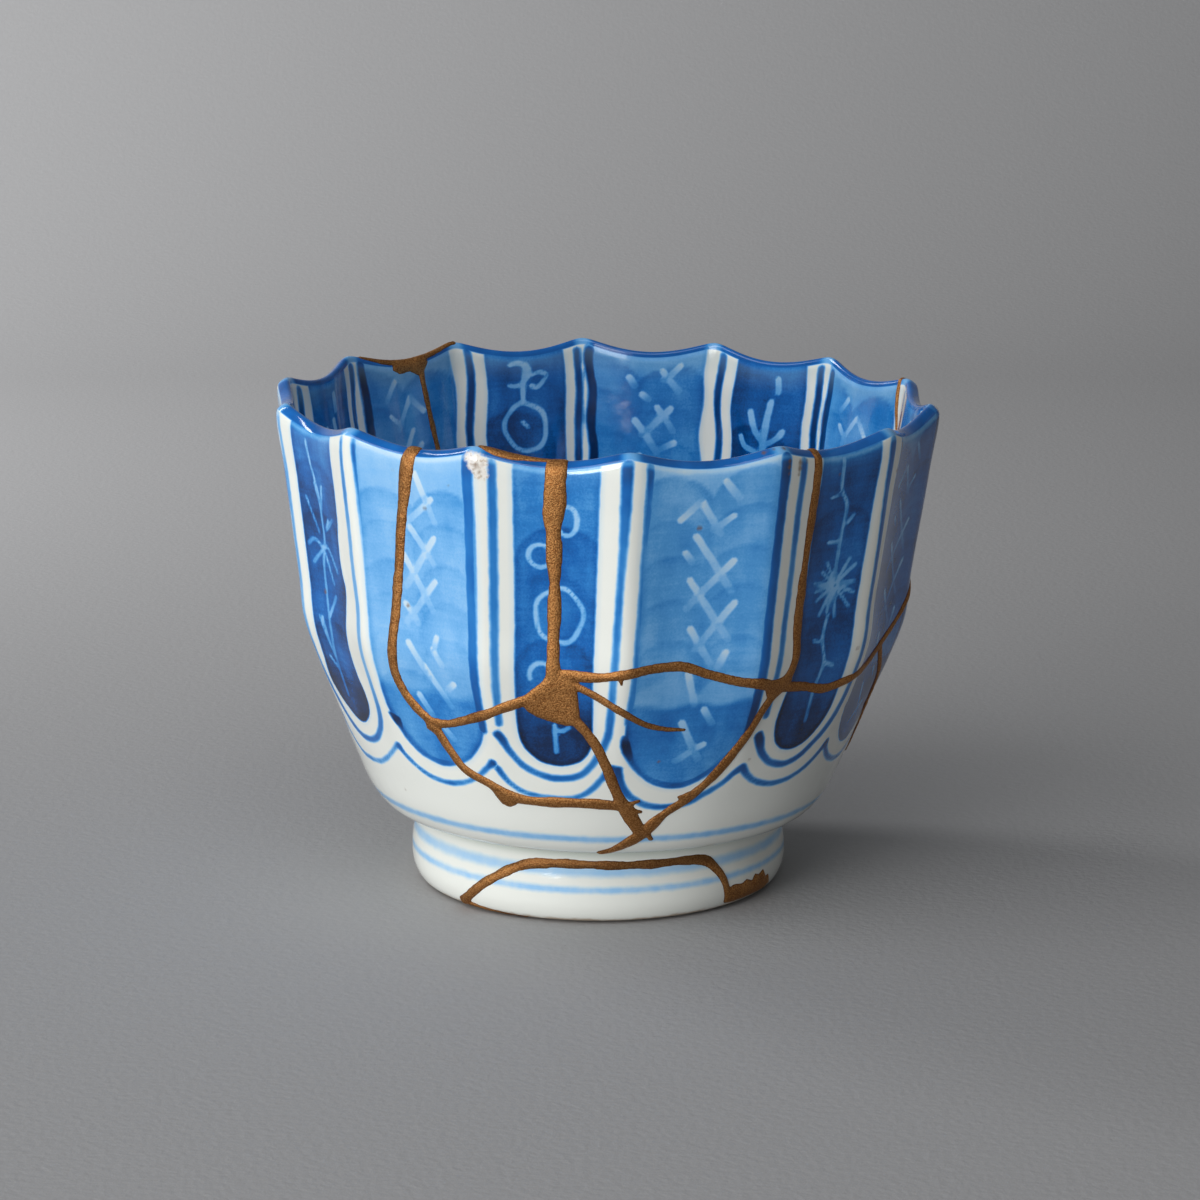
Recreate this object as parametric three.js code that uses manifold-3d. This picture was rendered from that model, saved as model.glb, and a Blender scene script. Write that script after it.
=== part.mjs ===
// A small fluted porcelain sake cup that was broken and mended with gold lacquer.
// Millimetres, +Z up. The origin is on the table, under the middle of the rim.
// Azimuths are in degrees from the front, -Y, and grow towards +X.

import * as THREE from 'three';
import { mergeVertices } from 'three/addons/utils/BufferGeometryUtils.js';
import Module from 'manifold-3d';

const wasm = await Module();
wasm.setup();

// The porcelain's profile as [radius, height], from the middle of the recess underneath to the inside floor.
const RECESS = [[0, 6.7], [15.2, 6.3], [16.6, 5.2], [16.9, 0.6], [17.4, 0]];
const FOOT = [[19.3, 0], [20.5, 0.5], [21.2, 1.9], [21.35, 4], [21.1, 7.2], [21.6, 8.7], [24.4, 9.35]];
const OUTER_WALL = [[26.2, 11.3], [28.2, 15.7], [30.65, 21.6], [32.9, 26.9], [34.6, 31.8], [35.1, 36.5],
  [36.7, 48.5], [37.5, 55.1]];
const RIM = [[37.1, 55.6], [36.5, 55.9], [36.15, 55.75]];
const INNER_WALL = [[36, 55.2], [34.9, 48.5], [33.8, 42], [32, 31.8], [29.2, 24.5], [25.7, 17.6],
  [23.4, 14.6], [20, 12.4]];
const INSIDE_FLOOR = [[14, 11.4], [0, 11]];
const WALL_STEPS = 8;

// The flutes: panels that are pressed in between soft ridges, deepest in the upper wall.
const FLUTES = 14;
const FLUTE_ANGLE = 360 / FLUTES;
const FIRST_RIDGE = -72.96;
const FLUTE_DEPTH = 1.35;
const FLUTE_STARTS = 15;
const FLUTE_IS_FULL = 34;
const RIDGE_SOFTNESS = 0.12;
const STEPS_PER_FLUTE = 4;

// The rim dips between the ridges, and the wall leans a little to the right of the foot.
const RIM_HEIGHT = 55.9;
const RIM_DIP = 1.3;
const DIP_STARTS = 40;
const LEAN = THREE.MathUtils.degToRad(0.85);
const LEAN_PIVOT = 8;
const FOOT_IS_LEVEL_TO = 1;
const LEAN_IS_FULL = 9;
const RIM_SHIFT = (RIM_HEIGHT - LEAN_PIVOT) * Math.sin(LEAN);

// The lacquer: how far it lies in the porcelain and stands proud of it, and the gap that is kept around it.
const SINK = 0.25;
const PROUD = 0.25;
const GAP = 0.2;
const CUTTER_HEIGHT = 1.2;
const SEAM_STEP = 5.2;
const RIM_STEP = 0.9;
const RIM_REACH = 1.6;
const ALONG_RIM_STEP = 2.4;
const MM_PER_DEGREE = 0.6;
const SAME_PLACE = 1e-4;
const INSIDE_WIDTH = 0.8;

// Seams that start at the rim, as [azimuth, height on the outside, width].
const RIM_SEAMS = {
  left: [[-34.6, 55.8, 1.5], [-35.6, 52.4, 1.4], [-38.7, 42.2, 1], [-41.4, 33.1, 0.9], [-41.2, 27.3, 0.9],
    [-35.8, 23.9, 1.1]],
  middle: [[-8, 55.8, 2.3], [-8.2, 52, 2.4], [-8.6, 47.5, 1.7], [-8.5, 41, 1.4], [-8.8, 31.2, 1.7]],
  right: [[38.2, 55.8, 1.2], [38.5, 50, 0.9], [38.1, 39, 0.8], [39, 33, 1.1], [35.2, 28.8, 1.3]],
  side: [[108.7, 55.8, 0.5], [107.5, 51.5, 0.6], [101, 46.5, 0.8], [90, 40, 0.8], [77.2, 32.4, 0.8],
    [64.9, 28.5, 1], [48.6, 27.2, 1], [35.2, 28.8, 1.2]],
};

// Seams lower on the wall, and where each one starts and ends.
const WALL_SEAMS = {
  hubToLeft: [[-9, 29.3, 1.3], [-17.1, 27.5, 1.1], [-25.4, 25.4, 1], [-35.8, 23.9, 1]],
  leftToTip: [[-35.8, 23.9, 1.1], [-29.8, 18.8, 1], [-19.8, 16.1, 1.1], [-6, 16, 1], [6.2, 15.4, 1]],
  hubToTip: [[-5.5, 26.4, 1], [1, 20.9, 1], [5.2, 16, 1.1], [9.8, 12.2, 1.1]],
  hubToRight: [[-7, 31.3, 1.2], [4.1, 31.7, 1.1], [15.2, 32.2, 1], [25.8, 30.2, 1], [35.2, 28.8, 1.3]],
  rightToCrease: [[35.2, 28.8, 1.2], [31.4, 22.3, 1], [20.1, 16.1, 1], [9.7, 11.8, 1.3], [4, 9.8, 0.8],
    [0.6, 9.3, 0.4]],
};

// Branches that run out in the outer face, and don't reach the inside.
const HAIRLINES = {
  fading: [[-6.5, 30.6, 0.9], [3.5, 27.5, 0.7], [11, 25.3, 0.5], [16.5, 24.7, 0.3]],
  sideDown: [[70.2, 30, 0.8], [77, 25.4, 0.7], [78.5, 21, 0.6], [81, 16, 0.3]],
};

// Filled places, as corners [azimuth, height on the outside], from the lowest one on towards the right.
const HUB = [[-9.8, 25.7], [-6.5, 25.2], [-3.6, 25.5], [-5, 29.5], [-5, 31.2], [-9.3, 31.6], [-13.2, 29.8],
  [-12.8, 27.6]];
const RIGHT_KNOT = [[35, 27.8], [37.6, 28], [38.4, 29.8], [35, 29.7], [32.6, 29.4], [33.4, 28.2]];

// The seam of the shard that broke out of the foot, and the filled chip at its right end.
const FOOT_SEAM = [[-46, 0.8, 1.2], [-40, 2.6, 0.9], [-33.3, 4.4, 0.9], [-23.6, 6.3, 1], [-6.6, 7, 0.9],
  [18.7, 6.9, 0.9], [35, 6.4, 1], [40.8, 3.8, 0.8], [43.2, 1, 0.9]];
const FOOT_CHIP = [[44, 0.7], [53, 0.7], [62.4, 0.8], [66, 1.2], [63.6, 2.3], [60, 3.3], [55.5, 3.2],
  [53.8, 2.5], [48.8, 2.7], [41.8, 2.5], [42, 1]];

// At the rim, points are [azimuth, distance], with the distance from the crest, negative inside the cup.
const RIM_CHIP = [[-20.5, -0.4, 0.9], [-15, -0.5, 1.2], [-9, -0.4, 1.2], [-6, -0.4, 0.9]];
const BACK_RIM = [[-127, -0.1, 0.5], [-133, -0.1, 0.9], [-142, -0.1, 0.9], [-150, -0.1, 0.5]];
const BACK_CHIP = [[-138, -0.3], [-134.2, -0.5], [-134.7, -1.6], [-138, -1.5], [-141, -1.8], [-142.7, -1],
  [-142, -0.4]];
const BACK_SEAM = [[-139.9, 0, 1], [-141.3, 3.7, 0.8], [-143.4, 12, 0.8], [-146, 20, 0.6], [-149, 28, 0.3]];

const PORCELAIN = { color: 0xe9ebe6, roughness: 0.12, metalness: 0 };
const GOLD = { color: 0x8a6238, roughness: 0.38, metalness: 1 };

const { clamp, degToRad, radToDeg, smoothstep, lerp } = THREE.MathUtils;

// The profile as a row of corners, with the walls as smooth curves through their sizes.
const corner = ([radius, height]) => new THREE.Vector2(radius, height);
const smoothed = (points, steps) => new THREE.SplineCurve(points.map(corner)).getSpacedPoints(steps);
const profile = [
  ...[...RECESS, ...FOOT].map(corner),
  ...smoothed(OUTER_WALL, WALL_STEPS),
  ...RIM.map(corner),
  ...smoothed(INNER_WALL, WALL_STEPS),
  ...INSIDE_FLOOR.map(corner),
];

// The distance of each corner from the rim's crest, along the profile: positive outside, negative inside.
const crest = profile.findIndex((point) => point.y === RIM_HEIGHT);
const travelled = [0];
for (let i = 1; i < profile.length; i += 1) {
  travelled.push(travelled[i - 1] + profile[i].distanceTo(profile[i - 1]));
}
const distances = travelled.map((length) => travelled[crest] - length);

function profileAt(distance) {
  const next = Math.max(1, distances.findIndex((value) => value <= distance));
  const share = (distance - distances[next - 1]) / (distances[next] - distances[next - 1]);
  return profile[next - 1].clone().lerp(profile[next], share);
}

// The distance from the crest of a height on the outside, from the foot's edge up.
function outside(height) {
  let next = RECESS.length + 1;
  while (profile[next].y < height && next < crest) {
    next += 1;
  }
  const share = (height - profile[next - 1].y) / (profile[next].y - profile[next - 1].y);
  return lerp(distances[next - 1], distances[next], share);
}

// How far a place is pressed in between two ridges: 0 on a ridge, 1 in the middle of a panel.
function pressedIn(azimuth) {
  const turns = THREE.MathUtils.euclideanModulo((azimuth - FIRST_RIDGE) / FLUTE_ANGLE, 1);
  const fromRidge = 1 - Math.abs(2 * turns - 1);
  const soft = (Math.hypot(fromRidge, RIDGE_SOFTNESS) - RIDGE_SOFTNESS)
    / (Math.hypot(1, RIDGE_SOFTNESS) - RIDGE_SOFTNESS);
  return 2 * soft - soft * soft;
}

// A place of the round profile, after fluting, dipping the rim and leaning the wall.
function shaped(azimuth, radius, height) {
  const panel = pressedIn(azimuth);
  const fluted = radius - FLUTE_DEPTH * panel * smoothstep(height, FLUTE_STARTS, FLUTE_IS_FULL);
  const dipped = height - RIM_DIP * panel * smoothstep(height, DIP_STARTS, RIM_HEIGHT);
  const turn = LEAN * smoothstep(dipped, FOOT_IS_LEVEL_TO, LEAN_IS_FULL);
  const x = fluted * Math.sin(degToRad(azimuth));
  const y = -fluted * Math.cos(degToRad(azimuth));
  const above = dipped - LEAN_PIVOT;
  return new THREE.Vector3(
    x * Math.cos(turn) + above * Math.sin(turn),
    y,
    LEAN_PIVOT + above * Math.cos(turn) - x * Math.sin(turn),
  );
}

function onSurface(azimuth, distance) {
  const place = profileAt(distance);
  return shaped(azimuth, place.x, place.y);
}

// The direction that points out of the porcelain.
function outward(azimuth, distance) {
  const reach = 0.35;
  const turn = radToDeg(reach / profileAt(distance).x);
  const across = onSurface(azimuth + turn, distance).sub(onSurface(azimuth - turn, distance));
  const down = onSurface(azimuth, distance + reach).sub(onSurface(azimuth, distance - reach));
  return down.cross(across).normalize();
}

function reshape(geometry, move) {
  const places = geometry.attributes.position;
  for (let i = 0; i < places.count; i += 1) {
    const moved = move(new THREE.Vector3().fromBufferAttribute(places, i));
    places.setXYZ(i, moved.x, moved.y, moved.z);
  }
  return geometry;
}

function toSolid(geometry) {
  geometry.deleteAttribute('normal');
  geometry.deleteAttribute('uv');
  const merged = mergeVertices(geometry, SAME_PLACE);
  const triangles = [];
  for (let i = 0; i < merged.index.count; i += 3) {
    const [a, b, c] = merged.index.array.slice(i, i + 3);
    if (a !== b && b !== c && c !== a) {
      triangles.push(a, b, c);
    }
  }
  return new wasm.Manifold(new wasm.Mesh({
    numProp: 3,
    vertProperties: merged.attributes.position.array,
    triVerts: new Uint32Array(triangles),
  }));
}

function toMesh(solid, name, finish) {
  const { vertProperties, triVerts } = solid.getMesh();
  const geometry = new THREE.BufferGeometry();
  geometry.setAttribute('position', new THREE.BufferAttribute(vertProperties, 3));
  geometry.setIndex(new THREE.BufferAttribute(triVerts, 1));
  geometry.computeVertexNormals();
  const mesh = new THREE.Mesh(geometry, new THREE.MeshStandardMaterial(finish));
  mesh.name = name;
  return mesh;
}

// The whole vessel: the profile turned about the axis, then fluted.
function vessel() {
  const turned = new THREE.LatheGeometry(profile, FLUTES * STEPS_PER_FLUTE, degToRad(FIRST_RIDGE));
  return toSolid(reshape(turned.rotateX(Math.PI / 2), (place) => {
    const azimuth = radToDeg(Math.atan2(place.x, -place.y));
    return shaped(azimuth, Math.hypot(place.x, place.y), place.z);
  }));
}

// How a strip or patch stands in the surface. The cutter leaves the gap around the lacquer.
const LACQUER = { margin: 0, sink: SINK, proud: PROUD };
const CUTTER = { margin: GAP, sink: SINK + GAP, proud: CUTTER_HEIGHT };

// The stops along a seam, closer together where it bends over the rim.
function stations(path) {
  const alongRim = path.every(([, distance]) => Math.abs(distance) < RIM_REACH);
  const curve = new THREE.CatmullRomCurve3(
    path.map(([azimuth, distance, width]) => new THREE.Vector3(azimuth * MM_PER_DEGREE, distance, width)),
  );
  const length = curve.getLength();
  const stops = [];
  let reached = 0;
  while (reached < length) {
    const stop = curve.getPointAt(reached / length);
    stops.push(stop);
    reached += alongRim ? ALONG_RIM_STEP : clamp(Math.abs(stop.y) - RIM_REACH, RIM_STEP, SEAM_STEP);
  }
  stops.push(curve.getPointAt(1));
  return stops.map((stop) => {
    const azimuth = stop.x / MM_PER_DEGREE;
    return { place: onSurface(azimuth, stop.y), out: outward(azimuth, stop.y), width: stop.z };
  });
}

// A strip of lacquer: a box bent along the seam.
function strip(path, { margin, sink, proud }) {
  const stops = stations(path);
  const last = stops.length - 1;
  const box = new THREE.BoxGeometry(1, 1, 1, 1, 1, last);
  return toSolid(reshape(box, (point) => {
    const i = Math.round((point.z + 0.5) * last);
    const { place, out, width } = stops[i];
    const along = stops[Math.min(i + 1, last)].place.clone().sub(stops[Math.max(i - 1, 0)].place).normalize();
    const across = out.clone().cross(along).normalize();
    const past = (i === last) - (i === 0);
    return place.clone()
      .addScaledVector(across, point.x * (width + 2 * margin))
      .addScaledVector(out, point.y > 0 ? proud : -sink)
      .addScaledVector(along, past * margin);
  }));
}

// A patch of lacquer: a disc pulled out to its corners.
function patch(corners, { margin, sink, proud }) {
  const places = corners.map(([azimuth, distance]) => ({
    place: onSurface(azimuth, distance), out: outward(azimuth, distance),
  }));
  const mean = (pick) => places.reduce((sum, spot) => sum.add(spot[pick]), new THREE.Vector3())
    .divideScalar(places.length);
  const middle = { place: mean('place'), out: mean('out').normalize() };
  const disc = new THREE.CylinderGeometry(1, 1, 1, corners.length, 1);
  return toSolid(reshape(disc, (point) => {
    const inMiddle = Math.hypot(point.x, point.z) < 0.5;
    const i = Math.round(Math.atan2(point.x, point.z) / (2 * Math.PI) * corners.length + corners.length);
    const { place, out } = inMiddle ? middle : places[i % corners.length];
    const away = place.clone().sub(middle.place).normalize();
    return place.clone()
      .addScaledVector(away, margin)
      .addScaledVector(out, point.y > 0 ? proud : -sink);
  }));
}

const onOutside = (points) => points.map(([azimuth, height, width]) => [azimuth, outside(height), width]);
const onInside = (points) => onOutside(points)
  .map(([azimuth, distance, width]) => [azimuth, -distance, width * INSIDE_WIDTH]);
const overRim = (path) => [
  ...path.slice(1).reverse().map(([azimuth, distance, width]) => [azimuth, -distance, width * INSIDE_WIDTH]),
  ...path,
];

// Each network of lacquer: its strips and its patches.
const networks = {
  gold_seam_front: {
    strips: [
      ...Object.values(RIM_SEAMS).map((points) => overRim(onOutside(points))),
      ...Object.values(WALL_SEAMS).flatMap((points) => [onOutside(points), onInside(points)]),
      ...Object.values(HAIRLINES).map(onOutside),
      RIM_CHIP,
    ],
    patches: [onOutside(HUB), onInside(HUB).reverse(), onOutside(RIGHT_KNOT)],
  },
  gold_seam_back: {
    strips: [overRim(BACK_SEAM), BACK_RIM],
    patches: [BACK_CHIP],
  },
  gold_seam_foot: {
    strips: [onOutside(FOOT_SEAM)],
    patches: [onOutside(FOOT_CHIP)],
  },
};

function build({ strips, patches }, form) {
  const solids = [
    ...strips.map((path) => strip(path, form)),
    ...patches.map((corners) => patch(corners, form)),
  ];
  return solids.reduce((sum, solid) => sum.add(solid));
}

const cup = new THREE.Group();
let porcelain = vessel();
for (const [name, network] of Object.entries(networks)) {
  porcelain = porcelain.subtract(build(network, CUTTER));
  cup.add(toMesh(build(network, LACQUER), name, GOLD));
}
cup.add(toMesh(porcelain, 'porcelain_cup', PORCELAIN));
cup.position.x = -RIM_SHIFT;

export default cup;
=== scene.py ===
"""A kintsugi sake cup on a studio floor: fluted porcelain, painted in blue and mended with gold lacquer.

Sizes are in millimetres. Azimuths are in degrees from the front, -Y, and grow towards +X. A place on the
wall is an azimuth and a distance from the rim's crest along the profile, positive outside the cup and
negative inside.
"""

from __future__ import annotations

import logging
import math
from collections.abc import Iterable
from dataclasses import dataclass, field, replace
from enum import Enum

import bpy
import numpy as np
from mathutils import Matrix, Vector

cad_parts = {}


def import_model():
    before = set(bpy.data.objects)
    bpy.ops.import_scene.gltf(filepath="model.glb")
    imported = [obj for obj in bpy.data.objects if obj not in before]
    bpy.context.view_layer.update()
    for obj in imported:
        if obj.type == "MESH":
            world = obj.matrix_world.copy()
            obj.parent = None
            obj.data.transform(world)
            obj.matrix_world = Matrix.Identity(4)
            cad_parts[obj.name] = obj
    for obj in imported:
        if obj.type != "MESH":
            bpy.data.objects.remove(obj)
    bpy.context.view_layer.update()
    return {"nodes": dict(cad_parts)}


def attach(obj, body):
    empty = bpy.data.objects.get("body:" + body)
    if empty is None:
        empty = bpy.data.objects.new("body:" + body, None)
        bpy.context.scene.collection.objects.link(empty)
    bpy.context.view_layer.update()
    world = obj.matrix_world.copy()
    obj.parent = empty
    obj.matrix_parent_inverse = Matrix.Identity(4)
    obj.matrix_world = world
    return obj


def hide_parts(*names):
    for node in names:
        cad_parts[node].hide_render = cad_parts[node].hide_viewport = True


log = logging.getLogger("sake_cup")

MM = 0.001
CUP_NODE = "porcelain_cup"
FAR_OUTSIDE = -5.0

Points = tuple[tuple[float, ...], ...]
Colour = tuple[float, float, float]


class Side(Enum):
    """The face of the wall that something is on, as the sign of its distances from the crest."""

    OUTSIDE = 1
    INSIDE = -1


class Field(Enum):
    """What is stored at the points of the meshes. Edges are in mm, positive inside the shape."""

    FILL = "fill_edge"
    TONE = "fill_tone"
    LINE = "line_edge"
    LINE_TONE = "line_tone"
    STROKE = "stroke_edge"
    STROKE_TONE = "stroke_tone"
    FROM_RIM = "from_rim"
    HEIGHT = "height"
    PRESSED = "pressed_in"
    SPECK = "speck_edge"
    BARE = "bare_edge"


class Ripple:
    """Smooth seeded unevenness between about -1 and 1, for what a hand leaves uneven."""

    def __init__(self, seed: int, size: float, waves: int = 9) -> None:
        """Chooses the waves.

        Args:
            seed: Which unevenness it is.
            size: The usual length of a wave, in the unit of the places it is asked for.
            waves: How many waves are summed.
        """
        chance = np.random.default_rng(seed)
        self.turns = chance.normal(size=(waves, 3))
        self.turns *= (2 * math.pi / size) * chance.uniform(0.5, 1.5, (waves, 1)) / np.linalg.norm(
            self.turns, axis=1, keepdims=True
        )
        self.starts = chance.uniform(0, 2 * math.pi, waves)
        self.scale = 1 / math.sqrt(waves)

    def at(self, *places: np.ndarray) -> np.ndarray:
        """Gives the unevenness at places.

        Args:
            places: One to three coordinates, as arrays of one shape.

        Returns:
            The unevenness, in the shape of the places.
        """
        total = np.zeros(np.broadcast(*places).shape)
        for turn, start in zip(self.turns, self.starts):
            total += np.sin(sum(step * place for step, place in zip(turn, places)) + start)
        return total * self.scale


def smooth_step(value: np.ndarray, low: float, high: float) -> np.ndarray:
    """Rises smoothly from 0 at low to 1 at high."""
    share = np.clip((value - low) / (high - low), 0, 1)
    return share * share * (3 - 2 * share)


def smooth_curve(points: Iterable[Iterable[float]], spacing: float) -> np.ndarray:
    """Draws a smooth curve through points, without overshoot where they are close together.

    Args:
        points: The points. Their first two coordinates are in mm.
        spacing: About how far apart the points of the curve are, in mm.

    Returns:
        The curve's points, one row each.
    """
    stops = np.array(list(points), float)
    steps = np.linalg.norm(np.diff(stops[:, :2], axis=0), axis=1)
    knots = np.concatenate(([0], np.cumsum(np.sqrt(steps))))
    slopes = np.gradient(stops, knots, axis=0)
    drawn = []
    for i, step in enumerate(steps):
        t = np.linspace(0, 1, max(2, math.ceil(step / spacing) + 1))[:, None]
        if i < len(steps) - 1:
            t = t[:-1]
        span = knots[i + 1] - knots[i]
        drawn.append(
            (2 * t**3 - 3 * t**2 + 1) * stops[i]
            + (t**3 - 2 * t**2 + t) * span * slopes[i]
            + (3 * t**2 - 2 * t**3) * stops[i + 1]
            + (t**3 - t**2) * span * slopes[i + 1]
        )
    return np.concatenate(drawn)


def line_edge(x: np.ndarray, y: np.ndarray, path: np.ndarray) -> tuple[np.ndarray, np.ndarray]:
    """Measures how far places lie inside a drawn line.

    Args:
        x: The places' first coordinate, in mm.
        y: The places' second coordinate, in mm.
        path: The line's points as rows of x, y, width and tone.

    Returns:
        Half the line's width less the distance from it, and the tone of the line there.
    """
    best = np.full(x.shape, -9.0)
    tone = np.zeros(x.shape)
    for start, end in zip(path[:-1], path[1:]):
        along = end - start
        length = max(along[0] ** 2 + along[1] ** 2, 1e-9)
        share = np.clip(((x - start[0]) * along[0] + (y - start[1]) * along[1]) / length, 0, 1)
        away = np.hypot(x - start[0] - share * along[0], y - start[1] - share * along[1])
        edge = (start[2] + share * along[2]) / 2 - away
        nearer = edge > best
        best = np.where(nearer, edge, best)
        tone = np.where(nearer, start[3] + share * along[3], tone)
    return best, tone


def area_edge(x: np.ndarray, y: np.ndarray, corners: np.ndarray) -> np.ndarray:
    """Measures how far places lie inside a closed outline.

    Args:
        x: The places' first coordinate, in mm.
        y: The places' second coordinate, in mm.
        corners: The outline's points as rows of x and y.

    Returns:
        The distance from the outline, positive inside it.
    """
    nearest = np.full(x.shape, 99.0)
    inside = np.zeros(x.shape, bool)
    for (ax, ay), (bx, by) in zip(corners, np.roll(corners, -1, axis=0)):
        length = max((bx - ax) ** 2 + (by - ay) ** 2, 1e-9)
        share = np.clip(((x - ax) * (bx - ax) + (y - ay) * (by - ay)) / length, 0, 1)
        nearest = np.minimum(nearest, np.hypot(x - ax - share * (bx - ax), y - ay - share * (by - ay)))
        crosses = (ay > y) != (by > y)
        if ay != by:
            inside ^= crosses & (x < (bx - ax) * (y - ay) / (by - ay) + ax)
    return np.where(inside, nearest, -nearest)


@dataclass(frozen=True)
class FlutedForm:
    """The shape of the porcelain: a turned profile that is fluted, dipped at the rim and leans a little."""

    recess: Points = ((0, 6.7), (9, 6.55), (15.2, 6.3), (16.6, 5.2), (16.9, 0.6))
    under_edge: Points = ((17.4, 0), (19.3, 0))
    wall: Points = (
        (19.3, 0), (20.5, 0.5), (21.2, 1.9), (21.35, 4), (21.1, 7.2), (21.6, 8.7), (24.4, 9.35),
        (26.2, 11.3), (28.2, 15.7), (30.65, 21.6), (32.9, 26.9), (34.6, 31.8), (35.1, 36.5), (36.7, 48.5),
        (37.5, 55.1), (37.1, 55.6), (36.5, 55.9), (36.15, 55.75), (36, 55.2), (34.9, 48.5), (33.8, 42),
        (32, 31.8), (29.2, 24.5), (25.7, 17.6), (23.4, 14.6), (20, 12.4), (14, 11.4), (0, 11),
    )
    crest_height: float = 55.9
    foot_joint_height: float = 8.9

    flutes: int = 14
    first_ridge: float = -72.96
    flute_depth: float = 1.35
    flute_starts: float = 15
    flute_is_full: float = 34
    ridge_softness: float = 0.12

    rim_dip: float = 1.3
    dip_starts: float = 40
    lean: float = math.radians(0.85)
    lean_pivot: float = 8
    foot_is_level_to: float = 1
    lean_is_full: float = 9
    unevenness: float = 0.05
    drawn_in: float = 2.6
    uneven_from: tuple[float, float] = (2, 12)
    middle_radius: float = 30
    spacing: float = 0.05

    profile: np.ndarray = field(init=False)
    distances: np.ndarray = field(init=False)
    ripple: Ripple = field(init=False)

    def __post_init__(self) -> None:
        """Draws the profile and measures each of its points from the crest."""
        recess, wall = (smooth_curve(part, self.spacing) for part in (self.recess, self.wall))
        profile = np.concatenate((recess, self.under_edge, wall[1:]))
        lengths = np.concatenate(([0], np.cumsum(np.linalg.norm(np.diff(profile, axis=0), axis=1))))
        crest = int(np.argmax(profile[:, 1]))
        object.__setattr__(self, "profile", profile)
        object.__setattr__(self, "distances", lengths[crest] - lengths)
        object.__setattr__(self, "ripple", Ripple(seed=3, size=17))

    @property
    def flute_angle(self) -> float:
        """The degrees from ridge to ridge."""
        return 360 / self.flutes

    @property
    def rim_shift(self) -> float:
        """How far the lean carries the rim to the right of the foot."""
        return (self.crest_height - self.lean_pivot) * math.sin(self.lean)

    def ridge(self, flute: int) -> float:
        """The azimuth of a flute's left ridge."""
        return self.first_ridge + flute * self.flute_angle

    def radius_at(self, distance: np.ndarray) -> np.ndarray:
        """The profile's radius at a distance from the crest."""
        return np.interp(-np.asarray(distance, float), -self.distances, self.profile[:, 0])

    def height_at(self, distance: np.ndarray) -> np.ndarray:
        """The profile's height at a distance from the crest."""
        return np.interp(-np.asarray(distance, float), -self.distances, self.profile[:, 1])

    def outside(self, height: np.ndarray) -> np.ndarray:
        """Finds heights on the outside, from the foot's edge up.

        Args:
            height: The profile's heights there, in mm.

        Returns:
            Their distances from the crest.
        """
        start = int(np.argmax(self.profile[:, 0] >= self.under_edge[1][0]))
        crest = int(np.argmax(self.profile[:, 1]))
        heights = np.maximum.accumulate(self.profile[start : crest + 1, 1])
        return np.interp(height, heights, self.distances[start : crest + 1])

    def pressed_in(self, azimuth: np.ndarray) -> np.ndarray:
        """Tells how far places are pressed in between two ridges.

        Args:
            azimuth: The places' azimuths, in degrees.

        Returns:
            0 on a ridge, and up to 1 in the middle of a flute.
        """
        turns = np.mod((azimuth - self.first_ridge) / self.flute_angle, 1)
        from_ridge = 1 - np.abs(2 * turns - 1)
        soft = (np.hypot(from_ridge, self.ridge_softness) - self.ridge_softness) / (
            math.hypot(1, self.ridge_softness) - self.ridge_softness
        )
        return 2 * soft - soft**2

    def at(self, azimuth: np.ndarray, distance: np.ndarray) -> np.ndarray:
        """Finds places of the surface.

        Args:
            azimuth: The places' azimuths, in degrees.
            distance: Their distances from the crest, in mm.

        Returns:
            The places in the row frame, in mm, with the coordinates on the last axis.
        """
        radius, height = self.radius_at(distance), self.height_at(distance)
        angle = np.radians(azimuth)
        panel = self.pressed_in(azimuth)
        pressed = self.flute_depth * panel * smooth_step(height, self.flute_starts, self.flute_is_full)
        dipped = height - self.rim_dip * panel * smooth_step(height, self.dip_starts, self.crest_height)
        across, back = self.middle_radius * np.sin(angle), self.middle_radius * np.cos(angle)
        uneven = self.unevenness * np.minimum(self.ripple.at(across, back, height) - self.drawn_in, 0)
        uneven = uneven * smooth_step(radius, *self.uneven_from)
        fluted = radius - pressed + uneven * smooth_step(height, *self.uneven_from)
        turn = self.lean * smooth_step(dipped, self.foot_is_level_to, self.lean_is_full)
        x, y = fluted * np.sin(angle), -fluted * np.cos(angle)
        above = dipped - self.lean_pivot
        return np.stack(
            (
                x * np.cos(turn) + above * np.sin(turn) - self.rim_shift,
                y,
                self.lean_pivot + above * np.cos(turn) - x * np.sin(turn),
            ),
            axis=-1,
        )

    def outward(self, azimuth: np.ndarray, distance: np.ndarray) -> np.ndarray:
        """Finds the directions out of the porcelain.

        Args:
            azimuth: The azimuths of places of the surface, in degrees.
            distance: Their distances from the crest, in mm.

        Returns:
            The unit directions, with the coordinates on the last axis.
        """
        reach = 0.2
        turn = np.degrees(reach / np.maximum(self.radius_at(distance), 1))
        across = self.at(azimuth + turn, distance) - self.at(azimuth - turn, distance)
        down = self.at(azimuth, distance + reach) - self.at(azimuth, distance - reach)
        out = np.cross(down, across)
        return out / np.linalg.norm(out, axis=-1, keepdims=True)

    def flat(self, azimuth: np.ndarray, height: np.ndarray, side: Side) -> tuple[np.ndarray, np.ndarray]:
        """Lays places of a design out flat.

        Args:
            azimuth: The azimuths, in degrees from the middle of the flute.
            height: The heights that the places have, or would have, on the outside.
            side: The face of the wall that the design is on.

        Returns:
            The places' coordinates across and down from the rim, in mm.
        """
        down = self.outside(height)
        return self.across(azimuth, down, side), down

    def across(self, azimuth: np.ndarray, down: np.ndarray, side: Side) -> np.ndarray:
        """The mm from the middle of a flute of azimuths from that middle, at a distance down from the rim."""
        return np.radians(azimuth) * (self.radius_at(side.value * np.asarray(down)) - self.flute_depth / 2)


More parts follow.
